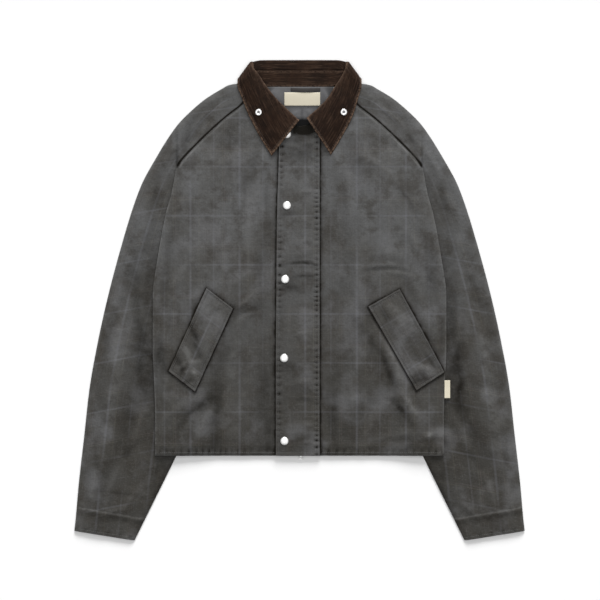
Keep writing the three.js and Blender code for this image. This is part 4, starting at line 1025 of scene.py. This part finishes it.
def make_pull(material):
    """The zip's ring pull, lying flat from its eye past the hem."""
    rings, sides = 64, 16
    half_x, half_y = PULL_HALF
    points, faces = [], []
    for i in range(rings):
        a = 2 * math.pi * i / rings
        middle = Vector((half_x * math.cos(a), half_y * math.sin(a), 0))
        out = Vector((math.cos(a) / half_x, math.sin(a) / half_y, 0)).normalized()
        for j in range(sides):
            b = 2 * math.pi * j / sides
            p = middle + out * PULL_WIRE * math.cos(b) + Vector((0, 0, PULL_WIRE * math.sin(b)))
            points.append((p.x + PULL_EYE[0], p.y + PULL_EYE[1] - half_y, p.z + PULL_EYE[2]))
            ring, after = i * sides, (i + 1) % rings * sides
            faces.append((ring + j, after + j, after + (j + 1) % sides, ring + (j + 1) % sides))
    return mesh_object("zip_ring", points, faces, [p[:2] for p in points], material)


# A stitch: its rounding as (place along it, share of its height), and the corners of its four long
# sides and two ends, counted from the first corner of a section
STITCH_PROFILE = [(-0.5, 0.15), (-0.42, 0.75), (-0.2, 1.0), (0.2, 1.0), (0.42, 0.75), (0.5, 0.15)]
STITCH_SIDES = ((1, 5, 7, 3), (0, 2, 6, 4), (0, 4, 5, 1), (2, 3, 7, 6))
STITCH_ENDS = ((0, 1, 3, 2), (0, 2, 3, 1))
STITCH_SINK = 0.12


def stitches(name, routes, material, length=2.7, gap=0.9, width=0.55, height=0.28):
    """Rows of raised stitches, each a small rounded bar set along a route."""
    points, faces = [], []
    for route in routes:
        steps = np.linalg.norm(np.diff(route, axis=0), axis=1)
        run = np.concatenate([[0], np.cumsum(steps)])
        for i in range(int(run[-1] // (length + gap))):
            mid = (i + 0.5) * (length + gap)
            place = np.array([np.interp(mid, run, route[:, k]) for k in range(3)])
            ahead = np.array([np.interp(mid + 0.6, run, route[:, k]) for k in range(3)])
            along = unit(ahead - place)
            across = unit(np.cross([0, 0, 1.0], along))
            up = np.cross(along, across)
            base = len(points)
            for end, rise in STITCH_PROFILE:
                wide = width * (0.6 if rise < 0.5 else 1.0)
                for sideways in (-0.5, 0.5):
                    side = place + along * end * length
                    foot, crest = side + across * sideways * wide, side + across * sideways * wide * 0.6
                    points += [tuple(foot - up * STITCH_SINK), tuple(crest + up * height * rise)]
            last = len(points) - 4
            for first in range(base, last, 4):
                faces += [tuple(first + corner for corner in side) for side in STITCH_SIDES]
            for first, end in zip((base, last), STITCH_ENDS):
                faces.append(tuple(first + corner for corner in end))
    return mesh_object(name, points, faces, [p[:2] for p in points], material, smooth=False)


def on_height(height, xs, ys):
    xs, ys = np.broadcast_arrays(xs, ys)
    return stack3(xs, ys, height(xs, ys) + STITCH_LIFT)


def front_routes(side):
    xs = side * np.arange(46 if side < 0 else 41, 262, 3.0)
    ys = np.arange(252, 362, 3.0)
    seams = [on_height(front_top, side * (raglan_seam(ys) - inset), ys) for inset in (3.0, 8.0)]
    return [on_height(front_top, xs, HEM_Y + STITCH_FROM_EDGE)] + seams


def placket_routes():
    inset = PLACKET_STITCHES
    ys = np.arange(HEM_Y + 3, 300, 3.0)
    ys_long = np.arange(HEM_Y + 3, 328, 3.0)
    return [on_height(placket_top, placket_left(ys) + inset["free"], ys),
            on_height(placket_top, PLACKET_RIGHT - inset["inner"], ys_long),
            on_height(placket_top, PLACKET_RIGHT - inset["outer"], ys_long),
            on_height(placket_top, np.arange(-41, 36, 3.0), HEM_Y + inset["hem"])]


def flap_routes(wearer):
    corners = FLAPS[wearer]
    width, length = flap_size(corners)
    a, d = STITCH_FROM_EDGE / width, STITCH_FROM_EDGE / length
    line = np.linspace(0, 1, 60)
    along, sideways = lerp(d, 1 - d, line), lerp(a, 1 - a, line)
    routes = []
    for path in ((along, a + 0 * line), (along, 1 - a + 0 * line),
                 (d + 0 * line, sideways), (1 - d + 0 * line, sideways)):
        x, y, z, _ = flap_top(corners, *path)
        routes.append(stack3(x, y, z + STITCH_LIFT))
    return routes


def collar_routes():
    """A row of stitches a little inside the free edge of the collar and along its front ends."""
    start, stop, end_row = 0.2, 6.2, 0.18
    station = np.linspace(start, LAST_STATION - start, 500)
    across = np.linspace(2.05, 2.93, 60)
    paths = []
    for low, high in ((start, stop), (LAST_STATION - stop, LAST_STATION - start)):
        part = station[(station >= low) & (station <= high)]
        fall = collar_surface(part, np.full(part.shape, 2.5))[1]
        paths.append((part, 3 - LEAF_STITCH / fall))
    for end in (end_row, LAST_STATION - end_row):
        paths.append((np.full(across.shape, end), across))
    return [collar_surface(*path)[0] + np.array([0, 0, COLLAR_WALL / 2 - 0.1]) for path in paths]


class Nodes:
    """Short calls for building a material's nodes."""

    def __init__(self, name):
        self.material = bpy.data.materials.new(name)
        self.material.use_nodes = True
        self.tree = self.material.node_tree
        self.shader = self.tree.nodes["Principled BSDF"]

    def put(self, kind, **settings):
        node = self.tree.nodes.new(kind)
        for key, value in settings.items():
            setattr(node, key, value)
        return node

    def link(self, source, target):
        self.tree.links.new(source, target)

    def feed(self, value, socket):
        if hasattr(value, "is_linked"):
            self.link(value, socket)
        else:
            socket.default_value = value

    def math(self, operation, a, b=0.0, c=0.0):
        node = self.put("ShaderNodeMath", operation=operation)
        for value, socket in zip((a, b, c), node.inputs):
            self.feed(value, socket)
        return node.outputs[0]

    def ramp(self, value, low, high):
        node = self.put("ShaderNodeMapRange", interpolation_type="SMOOTHSTEP")
        self.feed(value, node.inputs["Value"])
        node.inputs["From Min"].default_value = low
        node.inputs["From Max"].default_value = high
        return node.outputs["Result"]

    def mix(self, share, a, b, blend="MIX"):
        node = self.put("ShaderNodeMix", data_type="RGBA", blend_type=blend)
        self.feed(share, node.inputs[0])
        for value, socket in ((a, node.inputs[6]), (b, node.inputs[7])):
            self.feed(value if hasattr(value, "is_linked") else (*value, 1.0), socket)
        return node.outputs[2]

    def noise(self, vector, scale, detail=3.0, roughness=0.5):
        node = self.put("ShaderNodeTexNoise")
        self.link(vector, node.inputs["Vector"])
        node.inputs["Scale"].default_value = scale
        node.inputs["Detail"].default_value = detail
        node.inputs["Roughness"].default_value = roughness
        return node.outputs["Fac"]

    def bump(self, height, strength, distance):
        node = self.put("ShaderNodeBump")
        node.inputs["Strength"].default_value = strength
        node.inputs["Distance"].default_value = distance
        self.link(height, node.inputs["Height"])
        self.link(node.outputs["Normal"], self.shader.inputs["Normal"])

    def tint(self, base, mask, low, high, share, colour):
        """A colour over the base where the mask goes from low to high."""
        return self.mix(self.math("MULTIPLY", self.ramp(mask, low, high), share), base, colour)

    def clamped(self, value):
        return self.math("MINIMUM", self.math("MAXIMUM", value, 0.0), 1.0)

    def parts(self, vector):
        node = self.put("ShaderNodeSeparateXYZ")
        self.link(vector, node.inputs[0])
        return node.outputs

    def stretched(self, vector, scale):
        node = self.put("ShaderNodeMapping")
        node.inputs["Scale"].default_value = scale
        self.link(vector, node.inputs["Vector"])
        return node.outputs[0]

    def cloth_place(self):
        return self.put("ShaderNodeUVMap", uv_map="cloth").outputs["UV"]

    def place(self):
        return self.put("ShaderNodeTexCoord").outputs["Object"]

    def wear_and_shading(self):
        return self.put("ShaderNodeAttribute", attribute_name="wear_and_shading").outputs["Fac"]

    def surface(self, values):
        for name, value in values.items():
            self.feed(value, self.shader.inputs[name])


# Check lines across the cloth: offset in its repeat, half width, strength, tint
CHECK_REPEAT = 0.0905
CHECK_UP = [(0.7785, 0.0032, 0.15, "pale"), (0.9500, 0.0010, 0.08, "sand"), (0.2500, 0.0022, 0.09, "pale"),
            (0.4300, 0.0009, 0.08, "sand"), (0.4700, 0.0009, 0.08, "rust")]
CHECK_ACROSS = [(0.7160, 0.0026, 0.14, "pale"), (0.0410, 0.0009, 0.10, "sand"),
                (0.0830, 0.0009, 0.09, "rust"), (0.4000, 0.0009, 0.05, "sand")]
TINTS = {"pale": (0.20, 0.205, 0.235), "sand": (0.20, 0.185, 0.13), "rust": (0.19, 0.135, 0.13)}

# Colours of the waxed cotton and of the corduroy, among them the waxed cotton's painted light and shade,
# and the painted shade in a stud's eye
WAX = {"hem": (0.0335, 0.0320, 0.0285), "shoulder": (0.080, 0.081, 0.082), "patch": (0.033, 0.029, 0.022),
       "smudge": (0.021, 0.0170, 0.0120), "pale": (0.122, 0.123, 0.129),
       "dark_speck": (0.030, 0.028, 0.024), "pale_speck": (0.105, 0.104, 0.100),
       "dark_thread": (0.026, 0.0235, 0.0195), "pale_thread": (0.125, 0.124, 0.121),
       "rubbed_and_lit": (0.150, 0.149, 0.146), "wax_and_shade": (0.009, 0.0078, 0.0060)}
CORD = {"low": (0.0092, 0.0046, 0.0026), "high": (0.0245, 0.0122, 0.0070), "pale": (0.058, 0.0345, 0.0225),
        "dark": (0.0060, 0.0028, 0.0020), "fluff": (0.062, 0.040, 0.031), "worn": (0.150, 0.098, 0.068)}
EYE_SHADE_GREY = (0.20, 0.20, 0.21)


def waxed(name, shift=0.0):
    """Waxed cotton: a worn dark cloth with a faint woven check, painted lighter towards the shoulders as
    light from the top, paler where it is worn and where highlights are painted, darker where wax sits and
    where shade is painted.
    """
    n = Nodes(name)
    uv = n.cloth_place()
    place = n.place()
    # Painted light falling from the top: darker towards the hem and lighter towards the shoulders.
    base = n.mix(n.ramp(n.parts(place)["Y"], -0.26, 0.24), WAX["hem"], WAX["shoulder"])
    patches = n.noise(place, 9.0, 5.0, 0.6)
    speckle = n.noise(place, 330.0, 5.0, 0.7)
    base = n.tint(base, patches, 0.40, 0.66, 0.55, WAX["patch"])
    base = n.tint(base, n.noise(place, 26.0, 6.0, 0.65), 0.45, 0.64, 0.66, WAX["smudge"])
    base = n.tint(base, n.noise(place, 14.0, 4.0, 0.55), 0.48, 0.70, 0.50, WAX["pale"])
    base = n.tint(base, speckle, 0.50, 0.70, 0.40, WAX["dark_speck"])
    base = n.tint(base, speckle, 0.50, 0.30, 0.30, WAX["pale_speck"])
    for scale in ((9.0, 230.0, 1.0), (230.0, 9.0, 1.0)):
        threads = n.noise(n.stretched(uv, scale), 2.2, 3.0, 0.6)
        base = n.tint(base, threads, 0.54, 0.78, 0.20, WAX["pale_thread"])
        base = n.tint(base, threads, 0.47, 0.25, 0.24, WAX["dark_thread"])
    uneven_check = n.ramp(n.noise(place, 11.0, 2.0), 0.30, 0.62)
    cloth = n.parts(uv)
    for coordinate, lines in ((n.math("ADD", cloth["X"], shift), CHECK_UP), (cloth["Y"], CHECK_ACROSS)):
        repeat = n.math("FRACT", n.math("DIVIDE", coordinate, CHECK_REPEAT))
        for offset, half, strength, tint in lines:
            gap = n.math("ABSOLUTE", n.math("SUBTRACT", repeat, offset))
            line = n.ramp(gap, half / CHECK_REPEAT, 0.2 * half / CHECK_REPEAT)
            share = n.math("MULTIPLY", n.math("MULTIPLY", line, strength), uneven_check)
            base = n.mix(share, base, TINTS[tint])
    wear_and_shading = n.wear_and_shading()
    uneven = n.ramp(n.noise(place, 60.0, 4.0, 0.6), 0.28, 0.66)
    # Paler where the cloth is worn and where highlights are painted.
    rubbed_and_lit = n.math("MULTIPLY", n.math("MAXIMUM", wear_and_shading, 0.0), 0.50)
    base = n.mix(n.math("MULTIPLY", rubbed_and_lit, uneven), base, WAX["rubbed_and_lit"])
    # Darker where wax sits and where shade is painted, with less specular shine there.
    wax_and_shade = n.math("MULTIPLY", n.math("MULTIPLY", wear_and_shading, -0.9), n.math("MULTIPLY_ADD", uneven, 0.5, 0.5))
    wax_and_shade = n.clamped(wax_and_shade)
    n.surface({"Base Color": n.mix(wax_and_shade, base, WAX["wax_and_shade"]), "IOR": 1.45,
               "Roughness": n.math("MULTIPLY_ADD", patches, 0.16, 0.50),
               "Specular IOR Level": n.math("MULTIPLY_ADD", wax_and_shade, -0.30, 0.36)})
    weave = n.noise(uv, 1500.0, 2.0, 0.5)
    grain = n.noise(uv, 190.0, 4.0, 0.6)
    crinkle = n.noise(place, 75.0, 5.0, 0.62)
    fine = n.math("MULTIPLY_ADD", grain, 0.12, n.math("MULTIPLY", weave, 0.06))
    n.bump(n.math("ADD", crinkle, fine), 0.55, 0.0022)
    return n.material


def corduroy(name):
    n = Nodes(name)
    place = n.place()
    uv = n.cloth_place()
    fluff = n.noise(uv, 900.0, 2.0, 0.6)
    streak = n.noise(n.stretched(uv, (1.0, 9.0, 1.0)), 42.0, 4.0, 0.65)
    base = n.mix(n.ramp(n.noise(place, 30.0, 5.0, 0.65), 0.34, 0.70), CORD["low"], CORD["high"])
    base = n.tint(base, streak, 0.50, 0.70, 0.70, CORD["pale"])
    base = n.tint(base, streak, 0.50, 0.34, 0.80, CORD["dark"])
    base = n.tint(base, fluff, 0.50, 0.75, 0.25, CORD["fluff"])
    worn = n.math("MULTIPLY", n.wear_and_shading(), n.ramp(n.noise(place, 260.0, 4.0, 0.7), 0.36, 0.60))
    n.surface({"Base Color": n.mix(n.math("MULTIPLY", worn, 0.75), base, CORD["worn"]),
               "Roughness": n.math("MULTIPLY_ADD", fluff, 0.15, 0.80), "Specular IOR Level": 0.12,
               "Sheen Weight": 0.10, "Sheen Roughness": 0.5, "Sheen Tint": (0.50, 0.30, 0.20, 1)})
    n.bump(fluff, 0.5, 0.0003)
    return n.material


def plain_cloth(name, dark, light, scale=700.0, rough=0.75):
    """A close cloth in one colour, with its weave and a little unevenness."""
    n = Nodes(name)
    patches = n.noise(n.place(), 45.0, 4.0, 0.6)
    weave = n.noise(n.cloth_place(), scale, 2.0, 0.5)
    base = n.mix(n.math("MULTIPLY_ADD", weave, 0.35, n.math("MULTIPLY", patches, 0.65)), dark, light)
    shade = n.clamped(n.math("MULTIPLY", n.wear_and_shading(), -0.75))
    n.surface({"Base Color": n.mix(shade, base, tuple(0.15 * c for c in dark)),
               "Roughness": n.math("MULTIPLY_ADD", weave, 0.12, rough - 0.06),
               "Specular IOR Level": n.math("MULTIPLY_ADD", shade, -0.22, 0.25)})
    n.bump(weave, 0.4, 0.00015)
    return n.material


def thread(name, colour):
    n = Nodes(name)
    twist = n.noise(n.place(), 2500.0, 2.0, 0.5)
    n.surface({"Base Color": n.mix(twist, tuple(0.75 * c for c in colour), colour),
               "Roughness": n.math("MULTIPLY_ADD", twist, 0.15, 0.62)})
    n.bump(twist, 0.3, 0.00008)
    return n.material


def metal(name, dark, light, rough, metallic):
    """A worn metal, bright but for its tarnish and the painted shade in the eye of a stud."""
    n = Nodes(name)
    place = n.place()
    tarnish = n.noise(place, 320.0, 5.0, 0.65)
    bright = n.mix(n.ramp(tarnish, 0.50, 0.85), light, dark)
    n.surface({"Base Color": n.mix(n.math("MULTIPLY", n.wear_and_shading(), -1.0), bright, EYE_SHADE_GREY),
               "Roughness": n.math("MULTIPLY_ADD", tarnish, 0.18, rough - 0.09), "Metallic": metallic})
    n.bump(n.noise(place, 1500.0, 2.0, 0.5), 0.05, 0.00002)
    return n.material


waxed_right = waxed("waxed_cotton_right")
waxed_left = waxed("waxed_cotton_left", shift=-0.0353)
cord = corduroy("corduroy_brown")
lining_cloth = plain_cloth("lining_grey", (0.052, 0.052, 0.054), (0.150, 0.150, 0.156), rough=0.6)
label_tape = plain_cloth("label_cream", (0.60, 0.55, 0.43), (0.69, 0.64, 0.51), scale=1500.0, rough=0.7)
loop_tape = plain_cloth("loop_dark", (0.018, 0.016, 0.015), (0.052, 0.048, 0.046), rough=0.7)
zip_cloth = plain_cloth("zip_black", (0.010, 0.010, 0.010), (0.022, 0.022, 0.023), rough=0.8)
seam_thread = thread("thread_grey", (0.115, 0.115, 0.112))
dark_thread = thread("thread_brown", (0.055, 0.034, 0.026))
steel = metal("snap_steel", (0.60, 0.59, 0.57), (0.90, 0.90, 0.89), 0.36, 0.70)
nickel = metal("stud_nickel", (0.82, 0.82, 0.82), (0.95, 0.95, 0.95), 0.36, 0.70)


def finish_piece(piece, body, slot, *nodes):
    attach(piece, body)
    if nodes:
        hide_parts(*nodes)
    return piece


front_right = finish_piece(make_front(-1, "right", waxed_right), "jacket", "shell", "front_right")
front_left = finish_piece(make_front(1, "left", waxed_left), "jacket", "shell", "front_left")
sleeve_right, cuff_right = make_sleeve(-1, "right", waxed_right)
finish_piece(sleeve_right, "jacket", "shell", "sleeve_right_front", "sleeve_right_back")
sleeve_left, cuff_left = make_sleeve(1, "left", waxed_left)
finish_piece(sleeve_left, "jacket", "shell", "sleeve_left_front", "sleeve_left_back")
back = finish_piece(make_back(waxed_right), "jacket", "shell", "back")
flap_right = finish_piece(make_flap("right", waxed_right), "jacket", "shell", "pocket_flap_right")
flap_left = finish_piece(make_flap("left", waxed_left), "jacket", "shell", "pocket_flap_left")
placket = finish_piece(make_placket(waxed_right), "jacket", "shell", "placket")
leaf = finish_piece(make_collar(cord), "jacket", "corduroy", "collar_leaf")
stand = finish_piece(make_stand(cord), "jacket", "corduroy", "collar_stand")
lining = finish_piece(make_lining(lining_cloth), "jacket", "lining", "back_lining")
label = finish_piece(make_label(label_tape), "jacket", "tape", "neck_label")
loop = finish_piece(make_loop(loop_tape), "jacket", "tape", "hanger_loop")
side_tab = finish_piece(make_side_tab(label_tape), "jacket", "tape", "side_tab")
pull = finish_piece(make_pull(steel), "zip_pull", "metal", "zip_pull")

for name, x, y in SNAPS:
    foot = float(placket_plain_top(np.array(x), np.array(y))) + SEAM_GAP
    facing = surface_facing(placket_plain_top, x, y)
    cap = turned(f"{name}_cap", SNAP_SECTION, (x, y, foot), facing, steel)
    finish_piece(cap, "jacket", "metal", name)
for name, x, y in STUDS:
    middle, facing = fall_near(x, y)
    foot = middle + facing * (COLLAR_WALL / 2 + SEAM_GAP)
    ring = turned(f"{name}_ring", STUD_SECTION, tuple(foot), tuple(facing), nickel, eye=STUD_EYE)
    finish_piece(ring, "jacket", "metal", name)

body_sewing = stitches("body_stitches", front_routes(-1) + front_routes(1), seam_thread)
cuff_sewing = stitches("cuff_stitches", [cuff_right, cuff_left], seam_thread)
placket_sewing = stitches("placket_stitches", placket_routes(), seam_thread)
flap_sewing = stitches("flap_stitches", flap_routes("right") + flap_routes("left"), seam_thread)
collar_sewing = stitches("collar_stitches", collar_routes(), dark_thread)
for piece, slot in ((body_sewing, "shell"), (cuff_sewing, "shell"), (placket_sewing, "shell"),
                    (flap_sewing, "shell"), (collar_sewing, "corduroy")):
    finish_piece(piece, "jacket", slot)

for node, look in (("zip", zip_cloth), ("zip_slider", steel)):
    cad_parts[node].data.materials.clear()
    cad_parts[node].data.materials.append(look)

floor_mesh = bpy.data.meshes.new("floor")
reach = 14.0
floor_corners = [(-reach, -reach, 0), (reach, -reach, 0), (reach, reach, 0), (-reach, reach, 0)]
floor_mesh.from_pydata(floor_corners, [], [(0, 1, 2, 3)])
floor = bpy.data.objects.new("floor", floor_mesh)
bpy.context.scene.collection.objects.link(floor)
floor_look = Nodes("floor_white")
floor_look.surface({"Base Color": (0.905, 0.905, 0.905, 1), "Roughness": 0.95, "Specular IOR Level": 0.1})
floor_mesh.materials.append(floor_look.material)

fill = bpy.data.lights.new("fill", "AREA")
fill.shape = "RECTANGLE"
fill.size = fill.size_y = 4.2
fill.energy = 70.0
sun = bpy.data.lights.new("sun", "SUN")
sun.energy = 4.2
sun.angle = math.radians(26)
for lamp, place in ((fill, (0, 0, 3.4)), (sun, (0.35, 2.4, 1.0))):
    lamp_object = bpy.data.objects.new(lamp.name, lamp)
    lamp_object.location = place
    lamp_object.rotation_euler = Vector([-v for v in place]).to_track_quat("-Z", "Y").to_euler()
    bpy.context.scene.collection.objects.link(lamp_object)

world = bpy.data.worlds.new("studio")
world.use_nodes = True
background = world.node_tree.nodes["Background"]
background.inputs["Color"].default_value = (1, 1, 1, 1)
background.inputs["Strength"].default_value = 0.22
bpy.context.scene.world = world

camera = bpy.data.cameras.new("camera")
camera.lens = 100.0
camera.sensor_width = 36.0
camera_object = bpy.data.objects.new("camera", camera)
camera_object.location = (0.0009, 0.0003, 3.083)
bpy.context.scene.collection.objects.link(camera_object)
bpy.context.scene.camera = camera_object
bpy.context.scene.view_settings.view_transform = "Standard"
